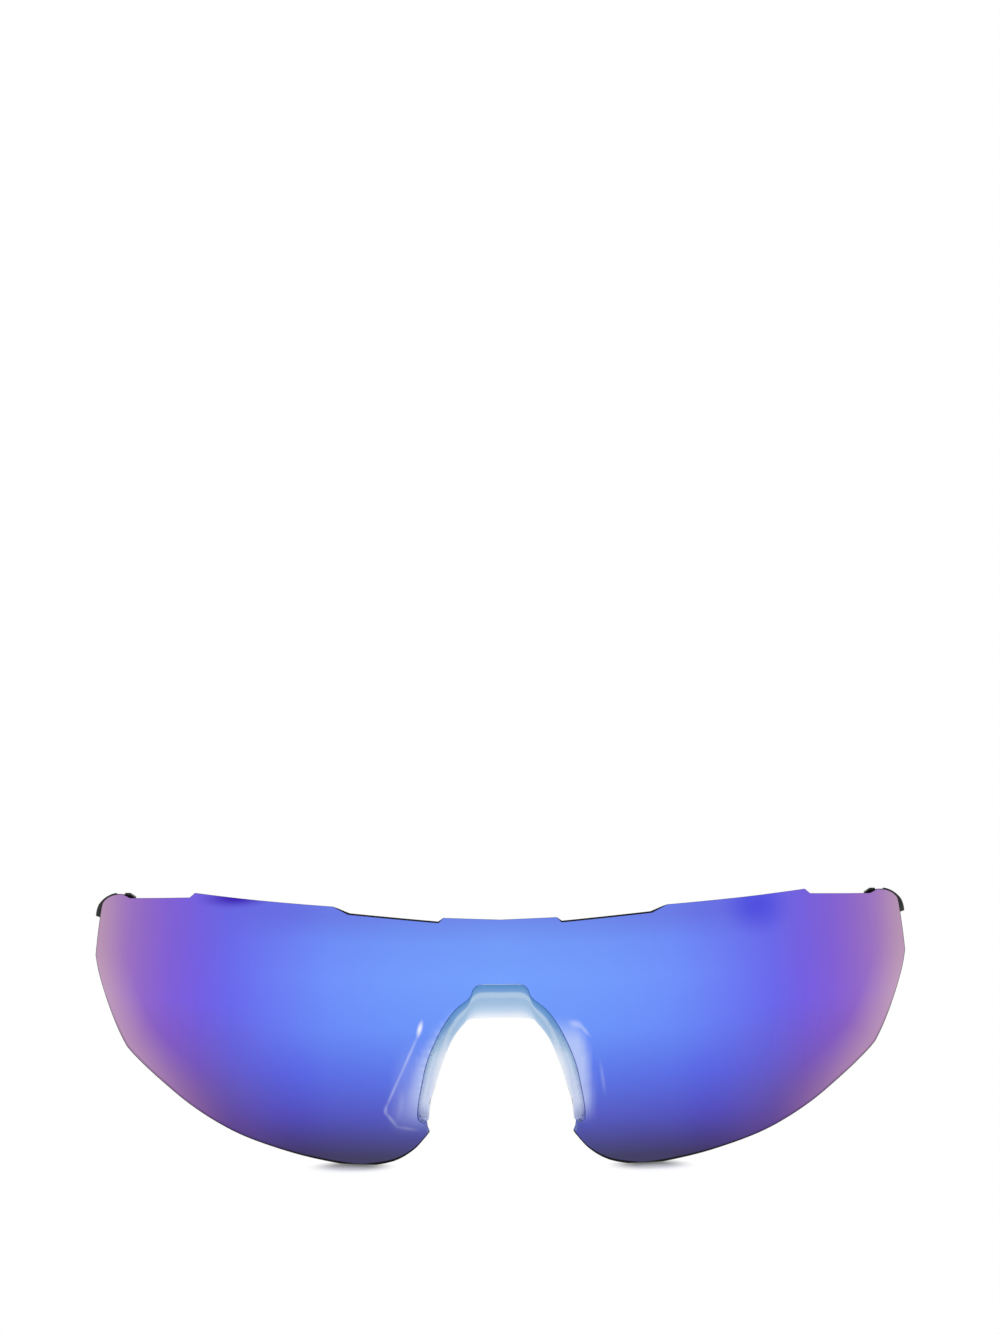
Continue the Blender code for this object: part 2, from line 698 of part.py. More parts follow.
def leaf_blank(name, direction, knuckles):
    """One leaf of the hinge: a plate that runs forwards (-1) or back (1) from its knuckles."""
    clear = BARREL_RADIUS + KNUCKLE_GAP
    near, far = sorted((PIVOT.y + direction * clear, PIVOT.y + direction * LEAF_LENGTH))
    blank = box(name, (PLATE_NEAR, near, HINGE_LOW), (PLATE_FAR, far, HINGE_LOW + HINGE_HEIGHT))
    for index in knuckles:
        low, high = knuckle_span(index)
        start, end = sorted((PIVOT.y, PIVOT.y + direction * (clear + LEAF_THICKNESS)))
        combine(blank, box(name + "_wing", (PLATE_NEAR, start, low), (PLATE_FAR, end, high)), "UNION")
        ends = ((PIVOT.x, PIVOT.y, low), (PIVOT.x, PIVOT.y, high))
        combine(blank, rod(name + "_knuckle", *ends, BARREL_RADIUS, BARREL_SIDES), "UNION")
    bore = (
        (PIVOT.x, PIVOT.y, HINGE_LOW - CUT_OVERRUN),
        (PIVOT.x, PIVOT.y, HINGE_LOW + HINGE_HEIGHT + CUT_OVERRUN),
    )
    combine(blank, rod(name + "_bore", *bore, PIN_RADIUS + PIN_CLEARANCE, BARREL_SIDES), "DIFFERENCE")
    for y in screw_rows(direction):
        combine(blank, screw_bore(name + "_screw_bore", y), "DIFFERENCE")
    return blank


def tip_extent(down, back):
    """How far the grip's rounded end reaches from its last point: down and back are 1 or 0."""
    reaches = []
    for along, size in TIP_DOME_SHARES:
        short = (1 - along) * TIP_DOME
        half = size * GRIP_HEIGHT / 2
        reaches.append(
            down * (half * math.cos(EAR_SLOPE) - short * math.sin(EAR_SLOPE))
            + back * (half * math.sin(EAR_SLOPE) - short * math.cos(EAR_SLOPE))
        )
    return max(reaches)


def temple_lengths():
    """Lengths of the temple's straight arm, its bend and its straight end, so that it reaches the table."""
    turned = EAR_RADIUS * (EAR_SLOPE - TEMPLE_SLOPE)
    back = OVERALL_DEPTH - tip_extent(0, 1) - REAR_FACE - END_GAP
    back -= EAR_RADIUS * (math.sin(EAR_SLOPE) - math.sin(TEMPLE_SLOPE))
    down = TEMPLE_Z - tip_extent(1, 0) + GRIP_REST_CUT
    down -= EAR_RADIUS * (math.cos(TEMPLE_SLOPE) - math.cos(EAR_SLOPE))
    spread = math.sin(EAR_SLOPE - TEMPLE_SLOPE)
    arm = (back * math.sin(EAR_SLOPE) - down * math.cos(EAR_SLOPE)) / spread
    end = (down * math.cos(TEMPLE_SLOPE) - back * math.sin(TEMPLE_SLOPE)) / spread
    return arm, turned, end


def temple_section(along, thickness, height, round_share):
    """Ring of points across the right temple, at a length along its middle line."""
    arm, turned, end = temple_lengths()
    slope = TEMPLE_SLOPE + min(max(along - arm, 0.0), turned) / EAR_RADIUS
    straight = min(along, arm)
    back = straight * math.cos(TEMPLE_SLOPE) + EAR_RADIUS * (math.sin(slope) - math.sin(TEMPLE_SLOPE))
    down = straight * math.sin(TEMPLE_SLOPE) + EAR_RADIUS * (math.cos(TEMPLE_SLOPE) - math.cos(slope))
    last = max(along - arm - turned, 0.0)
    share = max(along - TOE_IN_START, 0.0) / (arm + turned + end - TOE_IN_START)
    middle = Vector((
        INNER_FACE + TEMPLE_THICKNESS / 2 - TOE_IN * share ** TOE_IN_POWER,
        REAR_FACE + END_GAP + back + last * math.cos(slope),
        TEMPLE_Z - down - last * math.sin(slope),
    ))
    tilt = slope * min(max(along, 0.0) / TOE_IN_START, 1.0)
    up = Vector((0.0, math.sin(tilt), math.cos(tilt)))
    side = Vector((1.0, 0.0, 0.0))
    radius = round_share * thickness
    ring = []
    for corner, (across, rise) in enumerate(((1, 1), (-1, 1), (-1, -1), (1, -1))):
        for step in range(SECTION_STEPS):
            turn = math.pi / 2 * (corner + step / (SECTION_STEPS - 1))
            offset = Vector((
                across * (thickness / 2 - radius) + radius * math.cos(turn),
                rise * (height / 2 - radius) + radius * math.sin(turn),
            ))
            ring.append(middle + side * offset.x + up * offset.y)
    return ring


def stations(start, end, step):
    """Evenly spaced lengths from start to end, no further apart than a step."""
    count = max(1, math.ceil((end - start) / step))
    return [start + (end - start) * i / count for i in range(count + 1)]


def core_rings(start, end, extra):
    """Rings of the temple's core, with some extra all round for the grip's bore."""
    size = (CORE_THICKNESS + 2 * extra, CORE_HEIGHT + 2 * extra, TEMPLE_ROUND_SHARE)
    return [temple_section(along, *size) for along in stations(start, end, GRIP_STEP)]


def temple_blank():
    """The right temple: an arm that thins towards a shoulder, then the core that the grip covers."""
    shoulder = sum(temple_lengths()) - GRIP_LENGTH - FIT_GAP
    rings = []
    for along in [0.0] + stations(TOE_IN_START, shoulder, ARM_STEP):
        share = along / shoulder
        thickness = TEMPLE_THICKNESS + (ARM_THICKNESS - TEMPLE_THICKNESS) * share
        height = TEMPLE_HEIGHT + (ARM_HEIGHT - TEMPLE_HEIGHT) * share
        rings.append(temple_section(along, thickness, height, TEMPLE_ROUND_SHARE))
    rings += core_rings(shoulder, sum(temple_lengths()) - GRIP_END_WALL, 0.0)
    blank = loft("temple_blank", rings)
    for y in screw_rows(1):
        combine(blank, screw_bore("temple_bore", y), "DIFFERENCE")
    return blank


def grip_blank():
    """The right temple's rubber grip: a sleeve that swells from its mouth and ends in a round tip."""
    total = sum(temple_lengths())
    mouth = total - GRIP_LENGTH
    rings = []
    for along in stations(mouth, total - TIP_DOME, GRIP_STEP):
        swell = math.sin(math.pi / 2 * min((along - mouth) / GRIP_SWELL, 1.0))
        thickness = GRIP_MOUTH_THICKNESS + (GRIP_THICKNESS - GRIP_MOUTH_THICKNESS) * swell
        height = GRIP_MOUTH_HEIGHT + (GRIP_HEIGHT - GRIP_MOUTH_HEIGHT) * swell
        rings.append(temple_section(along, thickness, height, GRIP_ROUND_SHARE))
    for along, size in TIP_DOME_SHARES[1:]:
        place = total - (1 - along) * TIP_DOME
        rings.append(temple_section(place, size * GRIP_THICKNESS, size * GRIP_HEIGHT, GRIP_ROUND_SHARE))
    blank = loft("grip_blank", rings)
    bore = core_rings(mouth - CUT_OVERRUN, total - GRIP_END_WALL + FIT_GAP, FIT_GAP)
    combine(blank, loft("grip_bore", bore), "DIFFERENCE")
    combine(blank, table_cutter(), "DIFFERENCE")
    return blank


def build_front():
    """The lens, its nosepiece and both pads."""
    lens = lens_blank()
    finish("shield_lens", lens, "mirror_lens", Vector())
    nose = lens_point(0.0, face_place(NOSE_ARCH_SHARES[0]).y)
    finish("nose_clip", clip_blank(), "clear_clip", nose)
    pad = pad_blank()
    pad_middle = pad_surface(1 / 2, 1 / 2)
    for name, side in SIDES:
        finish("nose_pad_" + name, pad, "clear_pad", pad_middle, side)
    return grown(lens, SEAT_GROWTH * FIT_GAP)


def build_sides(lens_seat):
    """The endpieces, hinges, temples and grips of both sides."""
    inward = Matrix.Rotation(-math.pi / 2, 4, "Y")
    screw_length = LEAF_THICKNESS + SCREW_BITE
    leaf_screw = screw_blank("leaf_screw_blank", SCREW_RADIUS, SCREW_HEAD_RADIUS, screw_length)
    pin_length = HINGE_HEIGHT + PIN_SPARE
    hinge_screw = screw_blank("hinge_screw_blank", PIN_RADIUS, PIN_HEAD_RADIUS, pin_length)
    pin_seat = Vector((PIVOT.x, PIVOT.y, HINGE_LOW + HINGE_HEIGHT + SEAT_GAP))
    blanks = [
        ("endpiece", endpiece_blank(lens_seat), "black_nylon", CORNER),
        ("hinge_bracket", leaf_blank("bracket_blank", -1, (0, 2)), "hinge_steel", PIVOT),
        ("hinge_leaf", leaf_blank("leaf_blank", 1, (1,)), "hinge_steel", PIVOT),
        ("hinge_screw", placed_copy(hinge_screw, Matrix.Translation(pin_seat)), "hinge_steel", pin_seat),
        ("temple", temple_blank(), "black_nylon", PIVOT),
        ("temple_grip", grip_blank(), "grip_rubber", PIVOT),
    ]
    for kind, direction in (("bracket_screw", -1), ("leaf_screw", 1)):
        for number, y in enumerate(screw_rows(direction), 1):
            seat = Vector((PLATE_NEAR - SEAT_GAP, y, TEMPLE_Z))
            screw = placed_copy(leaf_screw, Matrix.Translation(seat) @ inward)
            origin = seat if direction < 0 else PIVOT
            blanks.append((f"{kind}_{number}", screw, "hinge_steel", origin))
    for side_name, side in SIDES:
        for name, blank, finish_name, origin in blanks:
            finish(f"{name}_{side_name}", blank, finish_name, origin, side)


clear_scene()
PARTS = new_collection("shield_sunglasses")
CUTTERS = new_collection("cutters")
BASE = bpy.data.objects.new("sunglasses_base", None)
PARTS.objects.link(BASE)
BASE.location = (0.0, -(OVERALL_DEPTH + CLIP_RECESS) / 2, 0.0)

CORNER = lens_point(*face_place(CORNER_SHARE))
CLIP_BACK = LENS_THICKNESS + FIT_GAP + FLANGE_THICKNESS
LIP_TOP = CORNER.z + LIP_RISE
INNER_FACE = CORNER.x + LIP_REACH - ENDPIECE_WIDTH
BLOCK_OUT = INNER_FACE + BLOCK_WIDTH
REAR_FACE = CORNER.y + ENDPIECE_LENGTH
TEMPLE_Z = LIP_TOP - ENDPIECE_HEIGHT / 2 - TEMPLE_DROP
PLATE_FAR = INNER_FACE - LEAF_GAP
PLATE_NEAR = PLATE_FAR - LEAF_THICKNESS
HINGE_HEIGHT = 3 * KNUCKLE_HEIGHT + 2 * KNUCKLE_GAP
HINGE_LOW = TEMPLE_Z - HINGE_HEIGHT / 2
PIVOT = Vector((PLATE_FAR + LEAF_INSET - BARREL_RADIUS, REAR_FACE + END_GAP / 2, TEMPLE_Z))

build_sides(build_front())
for cutter in CUTTERS.objects:
    cutter.hide_render = True
    cutter.display_type = "WIRE"
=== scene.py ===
"""Looks of the rimless shield sunglasses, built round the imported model.

Every piece is modelled finer than its solid, from the same sizes, and rides on its body. Metres,
+Z up, the lens faces -Y. Right-hand pieces are built at +X and the left ones mirror them.
"""

from math import asin, ceil, cos, floor, pi, radians, sin, sqrt

import bmesh
import bpy
from mathutils import Matrix, Vector
from mathutils.geometry import delaunay_2d_cdt
from mathutils.kdtree import KDTree


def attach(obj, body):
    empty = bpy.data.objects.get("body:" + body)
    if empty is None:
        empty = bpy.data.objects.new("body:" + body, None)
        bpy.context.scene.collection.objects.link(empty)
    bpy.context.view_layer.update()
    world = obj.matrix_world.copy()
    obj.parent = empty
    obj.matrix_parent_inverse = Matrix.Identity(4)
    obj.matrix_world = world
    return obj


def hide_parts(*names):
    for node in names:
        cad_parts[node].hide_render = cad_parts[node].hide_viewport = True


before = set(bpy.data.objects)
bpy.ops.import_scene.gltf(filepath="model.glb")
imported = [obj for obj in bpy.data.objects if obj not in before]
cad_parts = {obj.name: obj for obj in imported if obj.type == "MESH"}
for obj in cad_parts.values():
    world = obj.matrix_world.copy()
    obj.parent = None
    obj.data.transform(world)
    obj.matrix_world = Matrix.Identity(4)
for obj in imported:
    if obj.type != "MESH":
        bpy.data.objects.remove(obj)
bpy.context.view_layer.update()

MM = 0.001

# Whole object: where the lens's crown would meet the middle line, and the rear of the grips
FOREMOST = -81.075 * MM
OVERALL_DEPTH = 162.0 * MM
FIT_GAP = 0.2 * MM

# Lens
LENS_WIDTH = 151.0 * MM
LENS_HEIGHT = 47.2 * MM
LENS_THICKNESS = 2.0 * MM
PLAN_MARGIN = 24.5 * MM
PLAN_ACROSS = LENS_WIDTH / 2 + PLAN_MARGIN
PLAN_DEPTH = 140.0 * MM
CROWN_RADIUS = 110.0 * MM
CROWN_HEIGHT = 24.6 * MM
REST_CUT = 0.25 * MM
LENS_STEP = 0.9 * MM
FINE_RIM = 0.05 * MM
DARK_RIM = 0.32 * MM
SIDE_RIM = 0.17 * MM
FOOT_RIM = 0.33 * MM
FOOT_RIM_HEIGHT = 6.0 * MM
CORNER_RIM = 0.16 * MM
NOSE_RIM = 0.04 * MM
RAMP_RIM = 0.045 * MM
RIM_DEPTH_SHARE = 0.4
TOP_RUN_SHARES = (
    ((0.0, 0.919), (0.135, 0.926)),
    ((0.147, 0.913), (0.363, 0.941)),
    ((0.402, 0.964), (0.483, 0.971), (0.608, 0.983), (0.751, 1.0)),
    ((0.763, 0.982), (0.922, 0.967)),
    ((0.946, 0.981), (0.966, 0.977), (0.984, 0.964), (0.996, 0.943), (0.9985, 0.917)),
)
TOP_RUN_RIMS = (FINE_RIM, DARK_RIM, FINE_RIM, FINE_RIM, CORNER_RIM)
TOP_LINK_RIMS = (FINE_RIM, DARK_RIM, FINE_RIM, FINE_RIM, RAMP_RIM)
LOBE_SHARES = (
    (0.176, 0.124), (0.211, 0.066), (0.261, 0.021), (0.327, 0.0), (0.364, 0.0), (0.425, 0.012),
    (0.51, 0.038), (0.615, 0.085), (0.687, 0.134), (0.758, 0.2), (0.83, 0.286), (0.874, 0.343),
    (0.905, 0.388), (0.917, 0.415), (0.936, 0.473), (0.959, 0.555), (0.987, 0.667), (1.0, 0.737),
)
NOSE_ARCH_SHARES = (
    (0.0, 0.682), (0.046, 0.681), (0.063, 0.665), (0.073, 0.631), (0.109, 0.583), (0.143, 0.502),
    (0.172, 0.398), (0.186, 0.31), (0.1945, 0.245), (0.198, 0.205), (0.197, 0.18), (0.188, 0.167),
)
NOSE_TOE_SHARES = ((0.1815, 0.164), (0.18, 0.145), (0.1765, 0.131))
CURVE_STEPS = 6
# Nearest that filling points come to the outline, as a share of their step, and the reach of its welding
FILL_CLEAR_SHARE = 0.45
WELD_REACH = 0.0002 * MM
# Share of an offset that each moved point keeps from the whole line
OFFSET_CLEAR_SHARE = 0.97

# Angles in degrees past which an edge stays sharp
SHARP_ANGLE = 40.0
LENS_SHARP_ANGLE = 30.0
CLIP_SHARP_ANGLE = 45.0
PAD_SHARP_ANGLE = 60.0
GRIP_SHARP_ANGLE = 50.0

# Nosepiece and pads
FLANGE_WIDTH = 1.6 * MM
FLANGE_THICKNESS = 1.6 * MM
CLIP_BACK = LENS_THICKNESS + FIT_GAP + FLANGE_THICKNESS
CLIP_SEAM = 0.04 * MM
CLIP_STEP = 0.4 * MM
OPENING_SHARES = (
    (0.0, 0.555), (0.07, 0.551), (0.09, 0.53), (0.118, 0.472), (0.144, 0.379), (0.166, 0.275),
    (0.1745, 0.237), (0.181, 0.165),
)
PAD_THICKNESS = 2.2 * MM
PAD_DEPTH = 11.4 * MM
PAD_BULGE = 1.0 * MM
PAD_FRONT_SHARES = ((0.119, 0.55), (0.151, 0.425), (0.177, 0.305), (0.19, 0.165))
PAD_REAR_SHARES = ((0.19, 0.562), (0.223, 0.43), (0.255, 0.3), (0.281, 0.197), (0.262, 0.155))

# Temples and grips
CORNER_SHARE = (0.9985, 0.917)
LIP_REACH = 1.3 * MM
LIP_RISE = 2.7 * MM
ENDPIECE_WIDTH = 4.5 * MM
ENDPIECE_HEIGHT = 9.0 * MM
ENDPIECE_LENGTH = 9.1 * MM
TEMPLE_DROP = 0.45 * MM
END_GAP = 0.3 * MM
TEMPLE_SLOPE = radians(8.0)
EAR_SLOPE = radians(50.0)
EAR_RADIUS = 28.0 * MM
TEMPLE_THICKNESS = 3.5 * MM
TEMPLE_HEIGHT = 7.6 * MM
ARM_THICKNESS = 2.8 * MM
ARM_HEIGHT = 5.6 * MM
TOE_IN = 12.5 * MM
TOE_IN_POWER = 1.7
TOE_IN_START = 13.0 * MM
GRIP_LENGTH = 58.0 * MM
GRIP_THICKNESS = 4.6 * MM
GRIP_HEIGHT = 7.4 * MM
GRIP_MOUTH_THICKNESS = 3.4 * MM
GRIP_MOUTH_HEIGHT = 6.2 * MM
GRIP_SWELL = 14.0 * MM
GRIP_REST_CUT = 0.35 * MM
TIP_DOME = 3.0 * MM
TIP_DOME_SHARES = ((0.0, 1.0), (0.5, 0.9), (0.85, 0.66), (1.0, 0.4))

SIDES = (("left", -1), ("right", 1))


def lens_point(across, height, depth=0.0):
    """Point of the lens: across its ellipse, at a height on its front face, and this deep into it."""
    turn = asin(across / PLAN_ACROSS)
    rise = asin((height - CROWN_HEIGHT) / CROWN_RADIUS)
    plan = Vector((PLAN_ACROSS * sin(turn), PLAN_DEPTH * (1.0 - cos(turn)), 0.0))
    inward = Vector((-PLAN_DEPTH * sin(turn), PLAN_ACROSS * cos(turn), 0.0)).normalized()
    reach = CROWN_RADIUS - depth
    sag = CROWN_RADIUS - reach * cos(rise)
    up = Vector((0.0, FOREMOST, CROWN_HEIGHT + reach * sin(rise)))
    return plan + inward * sag + up


def face_place(share):
    """Across and height on the lens's face for a share of its half width and of its height."""
    return Vector((share[0] * LENS_WIDTH / 2, share[1] * (LENS_HEIGHT + REST_CUT) - REST_CUT))


def face_line(shares, steps=CURVE_STEPS):
    """Curve on the lens's face through places given as shares, as short straight steps."""
    points = [face_place(share) for share in shares]
    if len(points) == 2:
        return points
    line = []
    for i in range(len(points) - 1):
        before = points[max(i - 1, 0)]
        start, end = points[i], points[i + 1]
        after = points[min(i + 2, len(points) - 1)]
        for step in range(steps):
            t = step / steps
            line.append(
                0.5 * (
                    2 * start + (end - before) * t
                    + (2 * before - 5 * start + 4 * end - after) * t * t
                    + (3 * start - before - 3 * end + after) * t * t * t
                )
            )
    return line + [points[-1]]


def lengths_along(line):
    """Running length at each point of a line."""
    totals = [0.0]
    for start, end in zip(line, line[1:]):
        totals.append(totals[-1] + (end - start).length)
    return totals


def point_along(line, share):
    """Point at a share of a line's length."""
    totals = lengths_along(line)
    target = share * totals[-1]
    for i in range(len(line) - 1):
        if target <= totals[i + 1] and totals[i + 1] > totals[i]:
            return line[i].lerp(line[i + 1], (target - totals[i]) / (totals[i + 1] - totals[i]))
    return line[-1]


def outward(before, after):
    """Direction to the left of the way between two points."""
    ahead = after - before
    return Vector((-ahead.y, ahead.x)).normalized()


def offset_line(line, distance):
    """The line moved to its left, or right if less than 0, without loops in tight bends."""
    neighbours = zip(line[:1] + line, line, line[1:] + line[-1:])
    moved = [point + outward(before, after) * distance for before, point, after in neighbours]
    clear = OFFSET_CLEAR_SHARE * abs(distance)
    return [p for p in moved if min((p - other).length for other in line) > clear]


def matched(lines, breaks, step):
    """Lines resampled alike between their matching breaks, each keeping its own points."""
    made = [[] for _ in lines]
    for start, end in zip(breaks, breaks[1:]):
        parts = [line[a:b + 1] for line, a, b in zip(lines, start, end)]
        shares = set()
        for part in parts:
            totals = lengths_along(part)
            count = max(1, ceil(totals[-1] / step))
            shares |= {round(total / totals[-1], 4) for total in totals}
            shares |= {round(i / count, 4) for i in range(count)}
        for out, part in zip(made, parts):
            out += [point_along(part, share) for share in sorted(shares)[:-1]]
    for out, line, last in zip(made, lines, breaks[-1]):
        out.append(line[last])
    return made


def placed(name, data):
    """New object in the scene."""
    obj = bpy.data.objects.new(name, data)
    bpy.context.scene.collection.objects.link(obj)
    return obj


def mesh_piece(name, points, faces, slots=(), smooth_angle=SHARP_ANGLE):
    """Object of points and faces, with a material slot for each face, smooth but for its sharp edges."""
    mesh = bpy.data.meshes.new(name)
    mesh.from_pydata(points, [], faces)
    if slots:
        mesh.polygons.foreach_set("material_index", slots)
    mesh.shade_smooth()
    mesh.set_sharp_from_angle(angle=radians(smooth_angle))
    return placed(name, mesh)


def lofted(name, rings, smooth_angle=SHARP_ANGLE):
    """Closed piece through rings of points, with a flat cap at each end."""
    ring = len(rings[0])
    points = [point for row in rings for point in row]
    faces = []
    for first in range(0, len(points) - ring, ring):
        for i in range(ring):
            a, b = first + i, first + (i + 1) % ring
            faces.append((a, b, b + ring, a + ring))
    faces.append(tuple(reversed(range(ring))))
    faces.append(tuple(range(len(points) - ring, len(points))))
    obj = mesh_piece(name, points, faces, smooth_angle=smooth_angle)
    face_out(obj.data)
    return obj


def mark_points(mesh, name, values):
    """Gives each point of a mesh a value, which the materials read by its name."""
    layer = mesh.attributes.new(name, "FLOAT", "POINT")
    layer.data.foreach_set("value", values)


def face_out(mesh):
    """Turns a closed mesh's faces outwards."""
    work = bmesh.new()
    work.from_mesh(mesh)
    bmesh.ops.recalc_face_normals(work, faces=work.faces)
    if work.calc_volume(signed=True) < 0:
        bmesh.ops.reverse_faces(work, faces=work.faces)
    work.to_mesh(mesh)
    work.free()


def mirrored(obj, name):
    """A copy of the piece on the other side."""
    mesh = obj.data.copy()
    mesh.transform(Matrix.Scale(-1.0, 4, Vector((1.0, 0.0, 0.0))))
    mesh.flip_normals()
    return placed(name, mesh)


def settle(obj, body, node, slot, *materials):
    """Gives a piece its materials and its body, and hides the node that it stands for."""
    if obj.data.materials:
        obj.data.materials.clear()
    for material in materials:
        obj.data.materials.append(material)
    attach(obj, body)
    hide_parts(node)


def settle_pair(obj, base, node, slot, body, material):
    """Names a right-hand piece, mirrors it for the left, and settles both."""
    for side, sign in SIDES:
        piece = mirrored(obj, f"{base}_left") if sign < 0 else obj
        if sign > 0:
            piece.name = f"{base}_right"
        settle(piece, body.format(side=side), f"{node}_{side}", slot, material)


# Colours and shader nodes

# Length of the soft patches of colour, which pass right through the lens
PATCH_LENGTH = 1000.0
NOISE_ROUGHNESS = 0.55
NOISE_DETAIL = 3.0
FINE_DETAIL = 2.0
# What the noise is between, for the most part
NOISE_RANGE = (0.3, 0.7)


def srgb(red, green, blue):
    """Linear colour with alpha 1, from a display colour of 0 to 255."""
    def linear(value):
        value /= 255
        return value / 12.92 if value <= 0.04045 else ((value + 0.055) / 1.055) ** 2.4
    return (linear(red), linear(green), linear(blue), 1.0)


class Shader:
    """Node tree of a material or of the world, with short calls for the nodes that they share."""

    def __init__(self, name, owners=bpy.data.materials, surface="Principled BSDF"):
        self.owner = owners.new(name)
        self.owner.use_nodes = True
        self.tree = self.owner.node_tree
        self.surface = self.tree.nodes[surface]

    def put(self, socket, value):
        """Gives a socket a number or a colour, or links it to an output."""
        if isinstance(value, (int, float, tuple)):
            socket.default_value = value
        else:
            self.tree.links.new(value, socket)

    def node(self, kind, inputs=None, **settings):
        """New node with these settings, and with what goes into its sockets."""
        made = self.tree.nodes.new("ShaderNode" + kind)
        for key, value in settings.items():
            setattr(made, key, value)
        for key, value in (inputs or {}).items():
            self.put(made.inputs[key], value)
        return made

    def set(self, **values):
        for key, value in values.items():
            self.put(self.surface.inputs[key.replace("_", " ")], value)

    def coordinates(self):
        return self.node("TexCoord").outputs["Object"]

    def split(self, coords):
        """The three single coordinates."""
        return self.node("SeparateXYZ", {0: coords}).outputs

    def attribute(self, name):
        return self.node("Attribute", attribute_name=name).outputs["Fac"]

    def math(self, operation, first, second=0.0):
        return self.node("Math", {0: first, 1: second}, operation=operation).outputs[0]

    def spread(self, value, low, high, start=0.0, end=1.0, kind="SMOOTHSTEP"):
        """The value as it goes from low to high, mapped on start to end."""
        inputs = {"Value": value, "From Min": low, "From Max": high, "To Min": start, "To Max": end}
        return self.node("MapRange", inputs, interpolation_type=kind).outputs["Result"]

    def ramp(self, factor, stops):
        """Colour ramp of (share, colour) stops."""
        made = self.node("ValToRGB", {"Fac": factor})
        elements = made.color_ramp.elements
        while len(elements) < len(stops):
            elements.new(1.0)
        for element, (share, colour) in zip(elements, stops):
            element.position = share
            element.color = colour
        return made.outputs["Color"]

    def mix(self, factor, first, second, blend="MIX"):
        inputs = {"Factor": factor, 6: first, 7: second}
        return self.node("Mix", inputs, data_type="RGBA", blend_type=blend).outputs[2]

    def blob(self, coords, centre, radii, tilt):
        """Soft ellipse on the lens's face: 1 in its middle and 0 at its radii."""
        inputs = {
            "Vector": coords, "Location": (centre[0], 0.0, centre[1]),
            "Rotation": (0.0, radians(tilt), 0.0), "Scale": (radii[0], PATCH_LENGTH, radii[1]),
        }
        place = self.node("Mapping", inputs, vector_type="TEXTURE").outputs["Vector"]
        ball = self.node("TexGradient", {"Vector": place}, gradient_type="SPHERICAL")
        return self.spread(ball.outputs["Fac"], 0.0, 1.0)

    def patched(self, colour, coords, centre, radii, tilt, strength, patch):
        """The colour with a soft ellipse of another one laid over it."""
        cover = self.math("MULTIPLY", self.blob(coords, centre, radii, tilt), strength)
        return self.mix(cover, colour, patch)

    def noise(self, coords, size, detail=NOISE_DETAIL):
        """Noise whose grain is about this size, in metres."""
        inputs = {"Vector": coords, "Scale": 1.0 / size, "Detail": detail, "Roughness": NOISE_ROUGHNESS}
        return self.node("TexNoise", inputs).outputs["Fac"]

    def rough(self, coords, size, low, high, detail=NOISE_DETAIL):
        """Roughness from low to high that follows a noise of this size."""
        self.set(Roughness=self.spread(self.noise(coords, size, detail), *NOISE_RANGE, low, high))

    def coat(self, weight, roughness):
        self.set(Coat_Weight=weight, Coat_Roughness=roughness)

    def bump(self, height, distance, strength):
        inputs = {"Height": height, "Distance": distance, "Strength": strength}
        self.set(Normal=self.node("Bump", inputs).outputs["Normal"])


# The mirror coating, across from the middle to the outer edge at three quarters of the height
ACROSS_STOPS = (
    (0.0, srgb(118, 161, 254)), (0.24, srgb(115, 155, 253)), (0.4, srgb(113, 146, 251)),
    (0.52, srgb(110, 128, 246)), (0.64, srgb(107, 107, 240)), (0.72, srgb(116, 96, 230)),
    (0.8, srgb(129, 95, 218)), (0.86, srgb(142, 101, 205)), (0.92, srgb(155, 111, 194)),
    (0.98, srgb(174, 135, 178)),
)
# What the colour is multiplied by up the lens, darker towards the bottom, in its middle and near its outer
# edge, and the shares across it between which one turns into the other
INNER_STOPS = (
    (0.03, (0.355, 0.172, 0.135, 1)), (0.09, (0.44, 0.22, 0.28, 1)), (0.19, (0.564, 0.337, 0.56, 1)),
    (0.34, (0.66, 0.562, 0.82, 1)), (0.51, (0.88, 0.9, 0.97, 1)), (0.7, (1, 1, 1, 1)),
    (0.83, (0.96, 0.926, 0.956, 1)), (0.93, (0.88, 0.7, 0.82, 1)),
)
OUTER_STOPS = (
    (0.06, (0.86, 0.45, 0.25, 1)), (0.13, (0.94, 0.52, 0.33, 1)), (0.25, (1.0, 0.7, 0.48, 1)),
    (0.38, (1, 0.84, 0.7, 1)), (0.59, (1.0, 0.97, 0.97, 1)), (0.89, (1.0, 1.0, 0.92, 1)),
)
OUTER_FADE_SHARES = (0.46, 0.74)
# The painted glow, pale light along the outer edge: reach, strength, where it sets in across the lens and
# where it wanes up it, and the share that is left at the top
EDGE_GLOW = (0.6, 0.4, 0.52, 1.0)
EDGE_GLOW_REACH = 7.0 * MM
EDGE_GLOW_STRENGTH = 0.55
GLOW_ACROSS_SHARES = (0.62, 0.93)
GLOW_UP_SHARES = (0.55, 0.85)
GLOW_TOP_SHARE = 0.25
# Painted shade: the fine dark line along the lower edge, which ends up the lens
EDGE_SHADE = srgb(34, 18, 54)
EDGE_SHADE_REACH = 0.75 * MM
EDGE_SHADE_STRENGTH = 0.48
SHADE_UP_SHARES = (0.4, 0.62)
# Painted reflections by the top corners, as deeper patches: middle, half sizes, tilt, strength and colour
CORNER_REFLECTIONS = (
    ((-47.2 * MM, 46.6 * MM), (8.5 * MM, 2.2 * MM), -4.0, 1.0, srgb(62, 30, 178)),
    ((45.8 * MM, 44.8 * MM), (7.6 * MM, 6.5 * MM), 10.0, 0.7, srgb(66, 66, 222)),
)
# Colours of the pads' painted glow and of their painted highlights
PAD_GLOW_COLOUR = srgb(208, 222, 250)
PAD_HIGHLIGHT_COLOUR = srgb(236, 240, 255)
